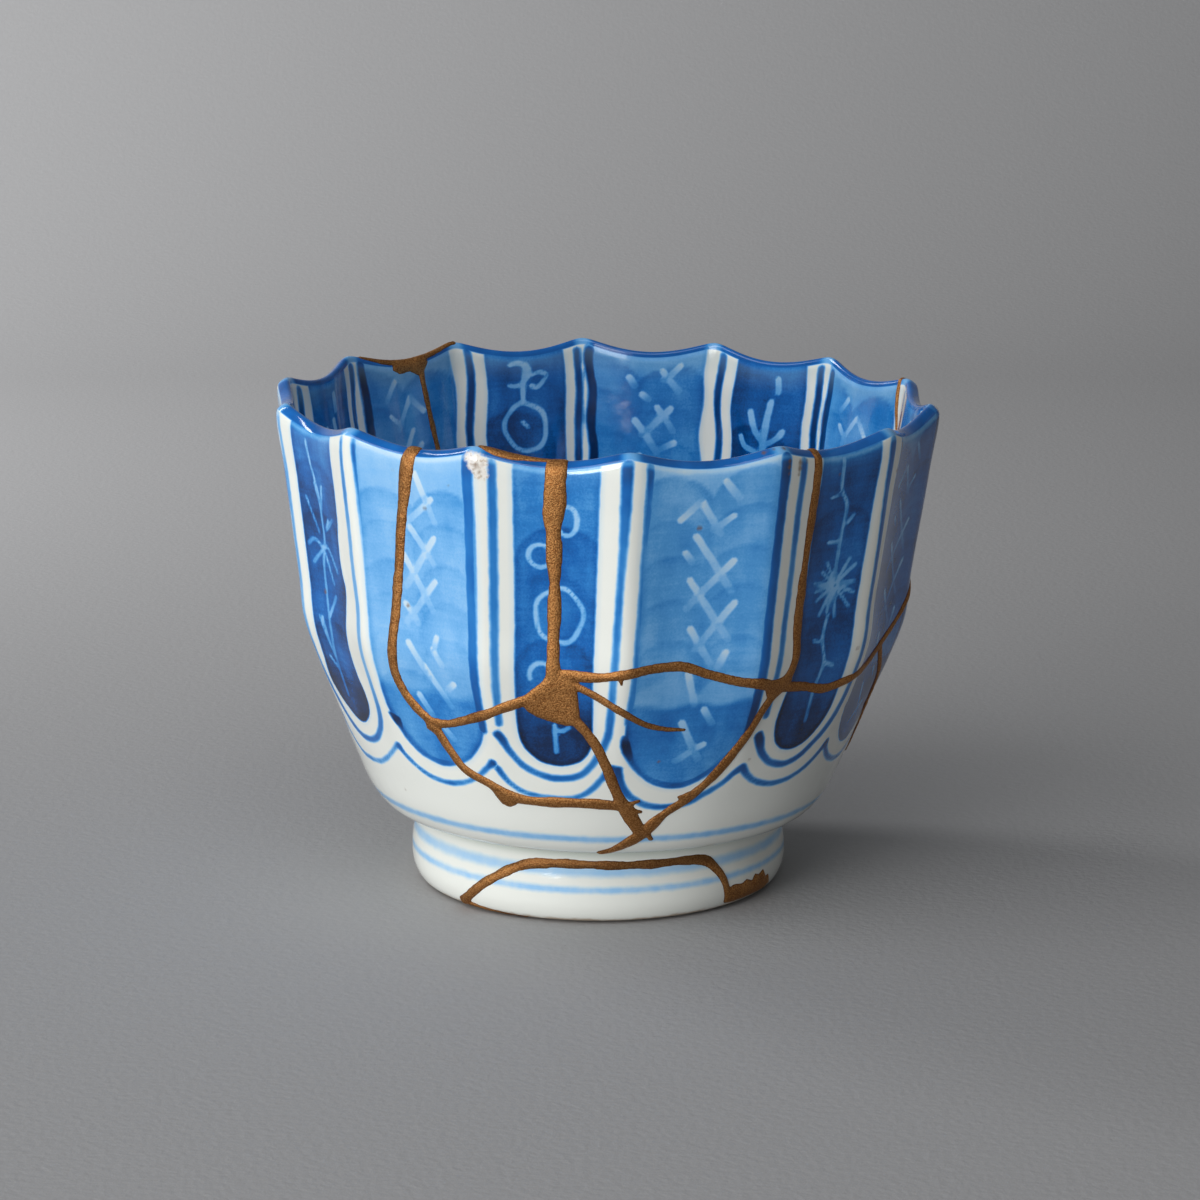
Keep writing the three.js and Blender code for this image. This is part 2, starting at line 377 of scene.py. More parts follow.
@dataclass(frozen=True)
class Wash:
    """A round stroke of the wide brush, that darkens a panel below its upper edge."""

    across: float
    top: float
    radius: float
    depth: float
    fade: float = 2.4
    body: float = 0.8
    rim: float = 1.0
    rim_width: float = 0.35


@dataclass(frozen=True)
class Pool:
    """The deeper wash that fills the foot of a panel."""

    top: float
    depth: float
    softness: float
    wander: float = 0.35


@dataclass(frozen=True)
class PanelPaint:
    """The painting of one flute. Places are (degrees from the flute's left ridge, height on the outside)."""

    outline: Points
    tone: float
    washes: tuple[Wash, ...]
    pool: Pool
    lines: tuple[Points, ...]
    strokes: tuple[Points, ...]
    stroke_width: float = 0.62
    stroke_end: float = 0.25


def ring(
    across: float,
    height: float,
    half_width: float,
    half_height: float,
    start: float,
    end: float,
    lobes: float = 0,
) -> Points:
    """A round stroke of the fine brush.

    Args:
        across: The middle, in degrees from the flute's left ridge.
        height: The middle's height.
        half_width: Half its width, in degrees.
        half_height: Half its height.
        start: Where the stroke starts, in degrees round the ring from its right end, upwards first.
        end: Where it ends.
        lobes: How far its five lobes stand out, as a share of its size.

    Returns:
        The stroke's points.
    """
    turns = np.radians(np.linspace(start, end, 31 if lobes else 13))
    made = []
    for turn in turns:
        size = 1 + lobes * math.sin(5 * turn + 1)
        right, up = half_width * math.cos(turn) * size, half_height * math.sin(turn) * size
        made.append((across + right, height + up))
    return tuple(made)


def petals(across: float, height: float, tips: Points, gap: float = 0.12) -> tuple[Points, ...]:
    """Strokes that spread from a small gap round a blossom's middle to its tips."""
    starts = ((across + gap * (x - across), height + gap * (y - height)) for x, y in tips)
    return tuple((start, tip) for start, tip in zip(starts, tips))


TWIG_WITH_LEAVES = (
    ((9.7, 54), (10.2, 51.4), (11.2, 48.1), (11.5, 45.4), (11.1, 41.4), (10, 39.7), (9.5, 35.4), (9.7, 32.1),
     (8.7, 28.1), (9, 23.9)),
    ((6.7, 46.6), (9.7, 42.7)),
    ((10.5, 40.9), (7.5, 41.7), (5.2, 40.9)),
    ((10.5, 40.9), (6.2, 38.9)),
    ((10.5, 40.9), (12, 41.2), (15.2, 38.7)),
    ((10.8, 40.6), (13, 37.1)),
    ((14, 44.7), (12.7, 43.4), (15.7, 44.9)),
    ((9.7, 32.9), (13.2, 35.7)),
    ((6.2, 32.7), (8, 29.4), (8.7, 27.7)),
    ((7.2, 32.7), (8, 29.4)),
    ((6.2, 28.1), (8.7, 26.7)),
    ((10.5, 48.9), (11.5, 46.4)),
    ((13, 48.9), (11.7, 45.7)),
)
RINGS = (
    ring(15.3, 49.1, 1.75, 1.8, -140, 110),
    ring(10.6, 44.7, 2.1, 1.4, 40, 320),
    ring(13.8, 37.9, 4.3, 3, 40, 400, 0.042),
    ring(10.5, 31.2, 2.2, 1.4, 20, 200),
    ((12.5, 25.4), (12.6, 23.7), (12.7, 22.1)),
    ((12.5, 24.9), (14, 24.7), (15.4, 25.2)),
)
BLOSSOM = (
    ((14.6, 54.7), (15.1, 51.1), (16.9, 49.1), (16.6, 45.4), (16.4, 42.1), (16.4, 39.7)),
    ((15.9, 36.1), (15.1, 33.4), (16.4, 30.7), (15.6, 27.4), (15.9, 23.7)),
    ((12.9, 50.3), (14.6, 50.5)),
    ((17.6, 46.6), (18.9, 47.5)),
    ((13.6, 44.6), (16.1, 44.5)),
    ((12.9, 33.4), (15.1, 33.1)),
    ((16.4, 30.7), (18.9, 30.1)),
    *petals(16.6, 39.4, (
        (14.1, 42.1), (13.1, 41.1), (11.4, 39.9), (12.4, 37.9), (13.6, 36.2), (17.6, 35.7), (20.6, 36.7),
        (21.4, 38.2), (21.2, 39.5), (20.9, 41.4), (19.4, 42.2), (12, 39), (15.5, 36.4),
    )),
)
TWIG_UPWARDS = (
    ((11.5, 51), (11.2, 47.5), (11.4, 44)),
    ((15, 49.8), (13.4, 47.7), (11.6, 46.2)),
    ((7.6, 47.6), (8.6, 46.6), (10.3, 45.9)),
    ((17.2, 46.7), (16.3, 45.3), (13.2, 44.6)),
    ((10.4, 54), (10.2, 52.2)),
)
CROSSES_LEFT = (
    ((13.7, 53.4), (17.2, 47.4)), ((16.7, 50.4), (10.2, 46.7)), ((11, 47.1), (16.2, 42.4)),
    ((16.7, 45.6), (9.7, 39.4)), ((9.5, 43.1), (15.2, 37.1)), ((16.2, 40.4), (9.2, 35.4)),
    ((9.2, 37.4), (11.7, 35.4)), ((15.7, 34.1), (14.7, 32.4)), ((14.7, 32.7), (16.5, 31.1)),
    ((9.2, 33.1), (13.2, 29.4)), ((18.7, 29.1), (17.2, 28.4)), ((12.2, 30.7), (17.2, 26.4)),
    ((9.7, 27.1), (12.2, 24.7)), ((13.7, 24.1), (16.2, 22.4)),
)
CROSSES_RIGHT = (
    ((8.8, 49.2), (12.3, 51.6)), ((12.3, 51.6), (16.1, 47.4)), ((18.1, 49.4), (14.8, 47.9)),
    ((11.8, 47.2), (18.8, 40.4)), ((18.8, 43.9), (10.8, 38.7)), ((11.1, 41.9), (18.8, 35.1)),
    ((19.6, 39.1), (12.8, 34.1)), ((11.8, 36.4), (15.8, 32.4)), ((18.6, 33.6), (17.3, 32.1)),
    ((11.8, 31.4), (13.8, 27.7)), ((15.8, 27.1), (17.8, 25.4)), ((11.6, 25.7), (16.1, 21.1)),
    ((16.8, 22.9), (11.3, 21.1)), ((16.3, 53.7), (18.8, 51.4)), ((10, 45.2), (11.4, 44)),
)
CROSSES_INSIDE = (
    ((10, 53.9), (6.1, 51)), ((6.3, 54.3), (9.6, 52.7)), ((16.2, 52.7), (15, 51.5)),
    ((13.5, 50.4), (12.1, 49.8)), ((15.2, 47.4), (10, 43.2)), ((7.5, 48.9), (13.6, 45.5)),
    ((10.2, 48.9), (7, 46.2)), ((6.6, 44.6), (9.2, 43.7)), ((13.8, 42.6), (8.2, 38.4)),
    ((7.6, 42), (12.8, 38)), ((14.2, 38.6), (9, 34.6)), ((8, 37.8), (12.4, 34.4)),
    ((13.4, 33.4), (9.2, 30)), ((8.8, 33), (12, 30)),
)
RING_BELOW_STEM = (
    ring(11.8, 46.3, 4.3, 3, 130, 490, 0.03),
    ((12.2, 47), (11.3, 46.4)),
    ((11.8, 49.4), (12, 51.8), (11.9, 54.6)),
    ring(13.6, 53.3, 2.5, 1.6, 60, 300),
    ((10.6, 53), (9, 53.2), (7.7, 52.6)),
    ((10.4, 51.5), (9.2, 51.1), (8.2, 51.8)),
)

# Lines are rows of (degrees from the left ridge, height, width, tone).
LEAF_PANEL = PanelPaint(
    outline=((4.8, 55.3), (4.6, 50), (4.2, 42), (3.9, 33), (3.4, 28), (2.9, 25), (4.3, 23.3), (7, 22),
             (11.2, 21.1), (15, 21.7), (18, 23.5), (18.1, 25.4), (16.8, 27.1), (16.2, 30), (16.5, 32),
             (17.7, 35.4), (18.2, 37.4), (17.3, 39), (17.2, 42), (18.2, 45.4), (18.9, 50.4), (19.6, 55.3)),
    tone=1.28,
    washes=(Wash(11, 52, 5.5, 0.12), Wash(11, 45.5, 5.6, 0.16), Wash(11, 39, 5.4, 0.14),
            Wash(10.5, 33, 5.2, 0.18)),
    pool=Pool(27.2, 0.55, 2.4),
    lines=(
        ((0.8, 54.9, 0.6, 0.7), (0.9, 48.7, 0.8, 0.75), (0.5, 38, 0.9, 0.6), (0.5, 32, 0.9, 0.6),
         (0.6, 25.6, 0.9, 0.9), (2.5, 21.8, 0.85, 1.1), (6, 19.9, 0.8, 1.2), (11.2, 19.1, 0.8, 1.15),
         (16.5, 19.7, 0.8, 1.2), (20.5, 21.5, 0.9, 1.1), (22.5, 23.6, 1, 0.9), (23, 26, 1, 0.7),
         (22.8, 30, 1.05, 0.5), (23.6, 35.4, 1.1, 0.55), (23.2, 40.4, 1.05, 0.6), (23.5, 45.4, 1, 0.75),
         (23.7, 50.4, 0.9, 0.95), (24.6, 54.9, 0.6, 0.8)),
        ((-0.8, 20, 0.9, 1.2), (0.5, 18.3, 0.65, 1), (5, 16.7, 0.7, 1), (9.5, 16.5, 0.65, 1),
         (14.5, 16.7, 0.65, 0.9), (19, 17.7, 0.6, 0.85), (22.5, 18.9, 0.55, 0.75), (24.6, 19.7, 0.6, 1),
         (25.8, 20, 1, 1.25)),
    ),
    strokes=TWIG_WITH_LEAVES,
    stroke_width=0.46,
    stroke_end=0.6,
)
CROSS_PANEL_LEFT = PanelPaint(
    outline=((1.5, 55.3), (1.4, 45), (1.1, 35), (1, 25), (1.6, 23.6), (3.2, 22), (6.2, 20.1), (10.7, 18.9),
             (15.2, 19.1), (19.7, 20.4), (22.7, 22.4), (24.2, 24.5), (24.8, 28.7), (25.4, 38), (25.7, 45),
             (26, 55.3)),
    tone=0.44,
    washes=(Wash(7, 50.8, 4.6, 0.1), Wash(18.8, 51.5, 4.6, 0.12), Wash(7, 47, 4.5, 0.1),
            Wash(18.8, 47.6, 4.5, 0.12), Wash(7.2, 42.4, 4.4, 0.11), Wash(19, 42.6, 4.4, 0.13),
            Wash(7, 38.6, 4.4, 0.09), Wash(19, 38.4, 4.4, 0.11), Wash(7, 34.6, 4.4, 0.08),
            Wash(19, 34.2, 4.4, 0.1), Wash(8, 30, 4.2, 0.1), Wash(18.5, 27.4, 4, 0.1)),
    pool=Pool(27.6, 0.38, 1.2),
    lines=(
        ((1.8, 55, 0.7, 1), (1.7, 50, 0.6, 0.95), (1.6, 42, 0.45, 0.9), (1.5, 34, 0.4, 0.75),
         (1.4, 26, 0.3, 0.6)),
        ((1.3, 24, 0.8, 1.6), (2.4, 23.4, 1.35, 1.9), (2.9, 22.6, 0.9, 1.5), (4.2, 21.2, 0.8, 1.25),
         (7.2, 19.9, 0.85, 1.2), (11.7, 19.25, 0.9, 1.25), (15.7, 19.6, 0.8, 1.1), (20.2, 21, 0.6, 0.9),
         (23.2, 23.4, 0.5, 0.9)),
        ((24.8, 54.9, 1.5, 1.05), (24.5, 48, 1.35, 1.1), (24.2, 40, 1.3, 1.1), (24, 33, 1.3, 1.15),
         (23.8, 28, 1.2, 1.3), (23.8, 24.2, 1.1, 1.5)),
        ((0.1, 20, 1, 1.25), (1.2, 19.2, 0.7, 1.15), (4.2, 17.9, 0.6, 1.05), (8.2, 17, 0.65, 1),
         (12.7, 16.8, 0.7, 1.1), (16.7, 17.2, 0.65, 1), (20.2, 18.1, 0.6, 0.95), (23.2, 19.5, 0.65, 1.1),
         (24.7, 20.2, 1, 1.4)),
    ),
    strokes=CROSSES_LEFT,
    stroke_width=0.76,
)
RING_PANEL = PanelPaint(
    outline=((6.3, 55.3), (6.1, 45), (6, 38), (5.6, 30), (5.3, 25), (5.6, 23.4), (6.9, 22), (9.5, 20.9),
             (13.5, 20.5), (17.3, 21.1), (19.4, 22.5), (19.9, 25), (20, 32), (20.3, 38), (20.7, 50),
             (21, 55.3)),
    tone=1.02,
    washes=(Wash(14, 48.5, 4.9, 0.17), Wash(12.5, 42.6, 5, 0.16), Wash(13, 35.6, 4.6, 0.22)),
    pool=Pool(26.3, 0.85, 2.6),
    lines=(
        ((3.1, 54.8, 0.95, 1), (3, 50, 1, 1), (2.7, 42, 0.95, 0.95), (2.4, 34, 0.9, 0.9), (2, 28, 0.85, 0.95),
         (1.8, 25.2, 0.8, 1.1)),
        ((1.2, 23.9, 1.1, 1.6), (2, 23.2, 1, 1.45), (3, 22, 0.8, 1.2), (5.5, 20.3, 0.8, 1.15),
         (9.5, 19.2, 0.85, 1.15), (13.5, 18.95, 0.9, 1.2), (17.5, 19.5, 0.8, 1.1), (20, 20.9, 0.8, 1.05),
         (22, 22.8, 0.8, 1.05), (23, 24.6, 0.9, 1.1), (23.4, 28, 0.8, 1), (23.8, 33, 0.8, 0.95),
         (24.3, 40, 0.8, 0.95), (24.8, 46, 0.95, 0.95), (25, 50, 1.2, 1.05), (25.2, 54.8, 1.3, 1.1)),
        ((0, 19.6, 0.8, 1.2), (2, 18, 0.65, 1.05), (5.5, 16.9, 0.65, 1), (11.5, 16.5, 0.65, 1),
         (16.5, 16.7, 0.65, 1), (19.5, 17.6, 0.7, 1), (22, 19.1, 0.8, 1.15), (24, 20.3, 1.2, 1.5)),
    ),
    strokes=RINGS,
    stroke_width=0.52,
    stroke_end=0.85,
)
CROSS_PANEL_RIGHT = PanelPaint(
    outline=((2.4, 55.3), (2.2, 45), (2.1, 38), (1.3, 31), (0.5, 25), (0.6, 23.6), (1.6, 21.5), (4.8, 19.1),
             (8.8, 17.95), (13.3, 17.7), (17.8, 18.6), (21.8, 20.4), (25.1, 22.5), (26.4, 25.2), (26.6, 30),
             (26.8, 38), (27.1, 50), (27.3, 55.3)),
    tone=0.54,
    washes=(Wash(8, 54.4, 4.6, 0.17), Wash(20.8, 55, 4.5, 0.13), Wash(8, 49.2, 4.5, 0.15),
            Wash(20.8, 50.6, 4.5, 0.15), Wash(8, 44.9, 4.4, 0.15), Wash(20.8, 45.8, 4.4, 0.15),
            Wash(8, 39.9, 4.4, 0.15), Wash(20.8, 41.3, 4.4, 0.15), Wash(8, 35.4, 4.4, 0.15),
            Wash(20.8, 35.6, 4.4, 0.15), Wash(8, 31, 4.4, 0.04), Wash(20.8, 31.4, 4.4, 0.02)),
    pool=Pool(27.8, 0.46, 0.6),
    lines=(
        ((3.2, 54.9, 0.9, 1.15), (3.1, 50, 0.85, 1.05), (2.7, 45.5, 0.75, 0.95), (2.3, 38.7, 0.7, 1),
         (1.8, 32, 0.8, 1.1), (1, 26, 0.9, 1.2)),
        ((0.6, 24.2, 1, 1.4), (0.8, 23.3, 1.2, 1.9), (1.6, 22, 1, 1.6), (2.6, 20.9, 0.8, 1.3),
         (5.8, 19.2, 0.8, 1.25), (9.8, 18.35, 0.8, 1.3), (13.8, 18.2, 0.85, 1.3), (18.3, 19.2, 0.85, 1.3),
         (21.8, 20.8, 0.8, 1.3), (25.3, 23, 0.9, 1.5)),
        ((26.3, 54.9, 1.4, 1.4), (26.2, 48, 1.3, 1.35), (26, 38.7, 1.3, 1.3), (25.9, 30, 1.3, 1.35),
         (25.8, 24.2, 1.2, 1.7)),
        ((-0.6, 20.2, 1.1, 1.5), (0.4, 18.2, 0.9, 1.2), (2.8, 16.7, 0.85, 1.15), (6.3, 15.7, 0.8, 1.15),
         (10.8, 15.4, 0.8, 1.2), (15.8, 15.75, 0.8, 1.15), (18.8, 16.6, 0.8, 1.15),
         (22.8, 17.75, 0.75, 1.1), (25.3, 18.9, 0.8, 1.2), (27.1, 19.5, 1.05, 1.4)),
    ),
    strokes=CROSSES_RIGHT,
    stroke_width=0.8,
)
BLOSSOM_PANEL = PanelPaint(
    outline=((9.6, 55.3), (9.2, 45), (8.9, 35), (8.5, 29), (7.5, 26), (7.4, 24), (8.6, 22.1), (11.1, 20.9),
             (14.1, 20.6), (17.1, 20.9), (20.1, 22.1), (22.1, 24.2), (22.4, 28.7), (22.5, 38), (22.9, 48),
             (23.1, 55.3)),
    tone=1.36,
    washes=(Wash(16, 49, 5.4, 0.1), Wash(15, 43, 5.4, 0.08), Wash(17, 36, 5.4, 0.1)),
    pool=Pool(26.5, 0.4, 2.2),
    lines=(
        ((4.8, 54.8, 1, 1.05), (4.7, 50, 0.95, 1), (4.6, 40, 0.9, 0.95), (4.2, 33, 0.9, 0.95),
         (4, 30, 0.9, 1), (3.9, 25.6, 0.9, 1.1)),
        ((3.3, 23.2, 1.2, 1.8), (4.2, 22.4, 1.3, 1.7), (5.8, 20.8, 0.9, 1.3), (9.1, 19.4, 0.85, 1.25),
         (13.1, 18.85, 0.85, 1.3), (17.1, 19.25, 0.85, 1.3), (20.6, 20.5, 0.85, 1.25),
         (23.6, 22.1, 0.9, 1.25), (25.3, 24.7, 0.95, 1.2), (25.9, 28.7, 0.9, 1.1), (26.2, 38.7, 0.9, 1.15),
         (26.1, 45.4, 1, 1.2), (25.6, 54.8, 1.1, 1.2)),
        ((1.6, 19.4, 1, 1.4), (3.6, 18.2, 0.75, 1.15), (7.1, 17.15, 0.75, 1.1), (12.1, 16.6, 0.75, 1.15),
         (17.6, 16.9, 0.7, 1.15), (22.1, 17.9, 0.7, 1.15), (25.1, 19.1, 0.75, 1.2), (26.8, 20, 1.1, 1.5)),
    ),
    strokes=BLOSSOM,
    stroke_width=0.46,
    stroke_end=0.75,
)
# Painted shade: the crosses, washes and pool of CROSS_PANEL_RIGHT at about twice its tone, for a light panel
# on the shaded right side of the cup.
SHADED_CROSS_PANEL = PanelPaint(
    outline=((4.6, 55.3), (4.4, 40), (4.2, 30), (3.8, 25), (4.6, 22.6), (7.2, 20.2), (11, 18.9), (15, 18.8),
             (19.5, 20), (22.7, 22), (24.6, 24.6), (25, 30), (25.2, 40), (25.4, 55.3)),
    tone=1.12,
    washes=CROSS_PANEL_RIGHT.washes,
    pool=CROSS_PANEL_RIGHT.pool,
    lines=(
        ((5.4, 54.9, 0.9, 1.3), (5.2, 40, 0.85, 1.25), (4.9, 30, 0.85, 1.3), (4.6, 25, 0.9, 1.5)),
        ((4.4, 24.2, 1.1, 1.8), (5, 23.2, 1.1, 1.6), (7.4, 20.8, 0.85, 1.3), (11, 19.4, 0.85, 1.3),
         (15, 19.2, 0.85, 1.3), (19.3, 20.4, 0.8, 1.25), (22.8, 22.6, 0.8, 1.3)),
        ((24.6, 54.9, 1.3, 1.35), (24.4, 40, 1.25, 1.3), (24.2, 25, 1.1, 1.5)),
        ((1.1, 19.9, 1, 1.4), (2.4, 18.9, 0.75, 1.15), (6, 17.6, 0.7, 1.1), (10.4, 16.9, 0.7, 1.1),
         (15, 16.9, 0.7, 1.1), (19, 17.7, 0.7, 1.1), (22.4, 18.8, 0.7, 1.15), (25.2, 20, 1, 1.4)),
    ),
    strokes=CROSSES_RIGHT,
    stroke_width=0.5,
)


DARK_INSIDE = replace(
    RING_PANEL,
    outline=((3.9, 55.2), (3.7, 50), (3.5, 42), (3.3, 35), (3, 29), (3.4, 26), (5.4, 24), (8.5, 22.8),
             (12, 22.4), (15.5, 22.9), (18.4, 24.2), (19.8, 26.4), (20, 30), (19.9, 42), (19.9, 50),
             (20, 55.2)),
    tone=1.3,
    lines=(
        ((0.9, 55, 1, 1.25), (0.9, 46, 0.95, 1.2), (0.8, 36, 0.9, 1.2), (0.6, 27, 0.9, 1.3),
         (2.4, 23.6, 0.8, 1.2), (6, 21.6, 0.8, 1.2), (11.5, 20.9, 0.8, 1.2), (17, 21.5, 0.8, 1.2),
         (21, 23.4, 0.8, 1.2), (22.8, 26.4, 0.9, 1.3), (23.2, 36, 0.95, 1.25), (23.4, 46, 1, 1.25),
         (23.5, 55, 1.1, 1.25)),
    ),
    strokes=RING_BELOW_STEM,
    stroke_width=0.6,
)
TWIG_INSIDE = replace(DARK_INSIDE, tone=1.38, strokes=TWIG_UPWARDS, stroke_width=0.85, stroke_end=0.7)
LIGHT_INSIDE = replace(
    CROSS_PANEL_RIGHT,
    outline=((1.2, 55.2), (1.1, 45), (0.9, 35), (0.7, 28), (2.4, 24.6), (6, 22.6), (12, 21.6), (18, 22.4),
             (22, 24.2), (24, 27.4), (24.4, 35), (24.6, 45), (24.7, 55.2)),
    tone=0.74,
    lines=(((23.6, 55, 1.2, 1.4), (23.5, 45, 1.2, 1.4), (23.3, 35, 1.1, 1.4), (23, 28, 1, 1.5)),),
    stroke_width=0.7,
)
LIGHT_INSIDE_LEFT = replace(LIGHT_INSIDE, strokes=CROSSES_INSIDE, stroke_width=0.85)
PALE_INSIDE = replace(LIGHT_INSIDE, tone=0.7)


@dataclass(frozen=True)
class PaintedDesign:
    """The blue painting on both faces of the wall, as fields over the surface."""

    form: FlutedForm
    outside_panels: tuple[PanelPaint, ...] = (
        LEAF_PANEL, CROSS_PANEL_LEFT, RING_PANEL, CROSS_PANEL_RIGHT, BLOSSOM_PANEL, SHADED_CROSS_PANEL,
        LEAF_PANEL, CROSS_PANEL_LEFT, RING_PANEL, CROSS_PANEL_RIGHT, BLOSSOM_PANEL, SHADED_CROSS_PANEL,
        RING_PANEL, CROSS_PANEL_LEFT,
    )
    inside_panels: tuple[PanelPaint, ...] = (
        DARK_INSIDE, LIGHT_INSIDE, TWIG_INSIDE, LIGHT_INSIDE_LEFT, DARK_INSIDE, LIGHT_INSIDE, TWIG_INSIDE,
        PALE_INSIDE, TWIG_INSIDE, LIGHT_INSIDE_LEFT, DARK_INSIDE, LIGHT_INSIDE, TWIG_INSIDE, LIGHT_INSIDE,
    )
    drawn_from_life: int = 6
    redrawn_by: float = 0.28
    reach: float = 19
    rim_zone: float = 2.2
    curve_step: float = 0.8

    body_line: Points = ((11.35, 0.8, 0.46),)
    foot_lines: Points = ((6.15, 1.2, 0.27), (4.1, 0.7, 0.38))
    floor_line: tuple[float, float, float] = (15.5, 0.7, 0.6)
    blur: float = 0.65

    # Dark specks and stains as (azimuth, height on the outside, radius).
    specks: Points = (
        (-20.9, 54.1, 0.3), (-20.2, 53.6, 0.15), (-21.7, 54.4, 0.12), (-19.7, 54.4, 0.1),
        (-21.3, 53.3, 0.1), (31.1, 54.5, 0.22), (31.1, 53.9, 0.24), (31.2, 53.2, 0.14), (33.7, 54.6, 0.3),
        (33.6, 54, 0.32), (33.5, 53.3, 0.2), (35.3, 54.8, 0.2), (27, 55.75, 0.2), (28.6, 55.8, 0.12),
        (30.4, 55.75, 0.22), (22.5, 55.8, 0.1), (-32, 49.2, 0.22), (-37.6, 37.2, 0.24), (16.4, 48.2, 0.28),
        (54.1, 31.6, 0.22), (32.6, 20.3, 0.16), (43.8, 53.1, 0.14), (-64, 35.8, 0.26), (-51, 14.2, 0.12),
        (60, 51.4, 0.3), (-26.5, 52, 0.12), (-38, 53.3, 0.1), (12, 21.1, 0.14), (150.5, 53.4, 0.25),
        (118, 31, 0.2), (-101, 26, 0.22), (172, 40, 0.24), (-160, 18, 0.18), (-128, 47, 0.2),
    )
    # Places where the glaze has come off the edge, in the same way.
    bare: Points = ((-20.8, 54.4, 1.05), (-20.2, 53.4, 0.75), (-22, 54.9, 0.6), (81.6, 55.2, 0.5),
                    (158.8, 55.2, 0.4))

    def fields(self, azimuth: np.ndarray, distance: np.ndarray) -> dict[Field, np.ndarray]:
        """Works out every field over a grid of the surface.

        Args:
            azimuth: The azimuths of the grid's columns.
            distance: The distances from the crest of its rows.

        Returns:
            Each field, one row for each distance.
        """
        shape = (len(distance), len(azimuth))
        columns, rows = np.broadcast_to(azimuth, shape), np.broadcast_to(distance[:, None], shape)
        edges = (Field.FILL, Field.LINE, Field.STROKE, Field.SPECK, Field.BARE)
        made = {kind: np.full(shape, FAR_OUTSIDE) for kind in edges}
        made[Field.TONE] = np.full(shape, 0.6)
        made[Field.LINE_TONE] = np.full(shape, 1.0)
        made[Field.STROKE_TONE] = np.full(shape, 0.5)
        made[Field.FROM_RIM] = rows.copy()
        made[Field.HEIGHT] = self.form.height_at(rows)
        made[Field.PRESSED] = self.form.pressed_in(columns)
        for side, panels in ((Side.OUTSIDE, self.outside_panels), (Side.INSIDE, self.inside_panels)):
            on_side = rows[:, 0] * side.value >= 0
            if not on_side.any():
                continue
            for flute, panel in enumerate(panels):
                middle = self.form.ridge(flute) + self.form.flute_angle / 2
                offset = np.mod(azimuth - middle + 180, 360) - 180
                near = np.ix_(on_side, np.abs(offset) < self.reach)
                copied = side is Side.INSIDE or flute >= self.drawn_from_life
                parts = {kind: values[near] for kind, values in made.items()}
                offsets = np.broadcast_to(offset, shape)[near]
                self.paint_panel(panel, parts, offsets, rows[near], side, flute * copied)
                for kind, values in parts.items():
                    made[kind][near] = values
            if side is Side.OUTSIDE:
                self.mark_spots(self.specks, made[Field.SPECK], columns, rows)
                self.mark_spots(self.bare, made[Field.BARE], columns, rows)
        self.turn_lines(made)
        return made

    def paint_panel(
        self,
        panel: PanelPaint,
        parts: dict[Field, np.ndarray],
        offset: np.ndarray,
        rows: np.ndarray,
        side: Side,
        copy: int,
    ) -> None:
        """Lays one flute's painting into the fields near it.

        Args:
            panel: The painting.
            parts: The fields near the flute, changed in place.
            offset: The azimuths from the middle of the flute.
            rows: The distances from the crest.
            side: The face of the wall.
            copy: 0 for a panel as it is drawn, or the seed of the hand that redrew it.
        """
        down = np.abs(rows)
        x, y = self.form.across(offset, down, side), down.copy()
        if copy:
            x = x + self.redrawn_by * Ripple(copy, 9).at(x, y)
            y = y + self.redrawn_by * Ripple(copy + 50, 9).at(x, y)
        fill = area_edge(x, np.maximum(y, self.rim_zone), self.laid_flat(panel.outline, side)[:, :2])
        tone = self.washed(panel, x, y, side)
        inner = fill > parts[Field.FILL]
        parts[Field.FILL] = np.where(inner, fill, parts[Field.FILL])
        parts[Field.TONE] = np.where(inner, tone, parts[Field.TONE])
        for line in panel.lines:
            edge, line_tone = line_edge(x, y, self.laid_flat(line, side))
            nearer = edge > parts[Field.LINE]
            parts[Field.LINE] = np.where(nearer, edge, parts[Field.LINE])
            parts[Field.LINE_TONE] = np.where(nearer, line_tone, parts[Field.LINE_TONE])
        for stroke in panel.strokes:
            path = self.laid_flat(stroke, side)[:, :2]
            width = np.full(len(path), panel.stroke_width)
            path = np.column_stack((path, width, np.linspace(1, panel.stroke_end, len(path))))
            edge, stroke_tone = line_edge(x, y, path)
            nearer = edge > parts[Field.STROKE]
            parts[Field.STROKE] = np.where(nearer, edge, parts[Field.STROKE])
            parts[Field.STROKE_TONE] = np.where(nearer, stroke_tone, parts[Field.STROKE_TONE])

    def washed(self, panel: PanelPaint, x: np.ndarray, y: np.ndarray, side: Side) -> np.ndarray:
        """Works out the depth of a panel's blue under its washes and its pool.

        Args:
            panel: The painting.
            x: The places' distances across the panel, in mm.
            y: Their distances down from the crest.
            side: The face of the wall.

        Returns:
            The depth of the blue.
        """
        tone = np.full(x.shape, panel.tone)
        for wash in panel.washes:
            (middle, top), = self.laid_flat(((wash.across, wash.top),), side, curved=False)[:, :2]
            edge = wash.radius - np.hypot(x - middle, np.maximum(top + wash.radius - y, 0))
            at_edge = wash.rim * np.exp(-np.abs(edge) / wash.rim_width)
            fading = wash.body + at_edge + np.exp(-np.maximum(edge, 0) / wash.fade)
            covered = smooth_step(edge, -0.1, wash.rim_width)
            tone = tone + (panel.tone + wash.depth * fading - tone) * covered
        pool = panel.pool
        pool_top = float(self.form.outside(pool.top)) + pool.wander * Ripple(len(panel.washes), 6).at(x, y)
        return tone + pool.depth * smooth_step(y, pool_top - pool.softness, pool_top + pool.softness)

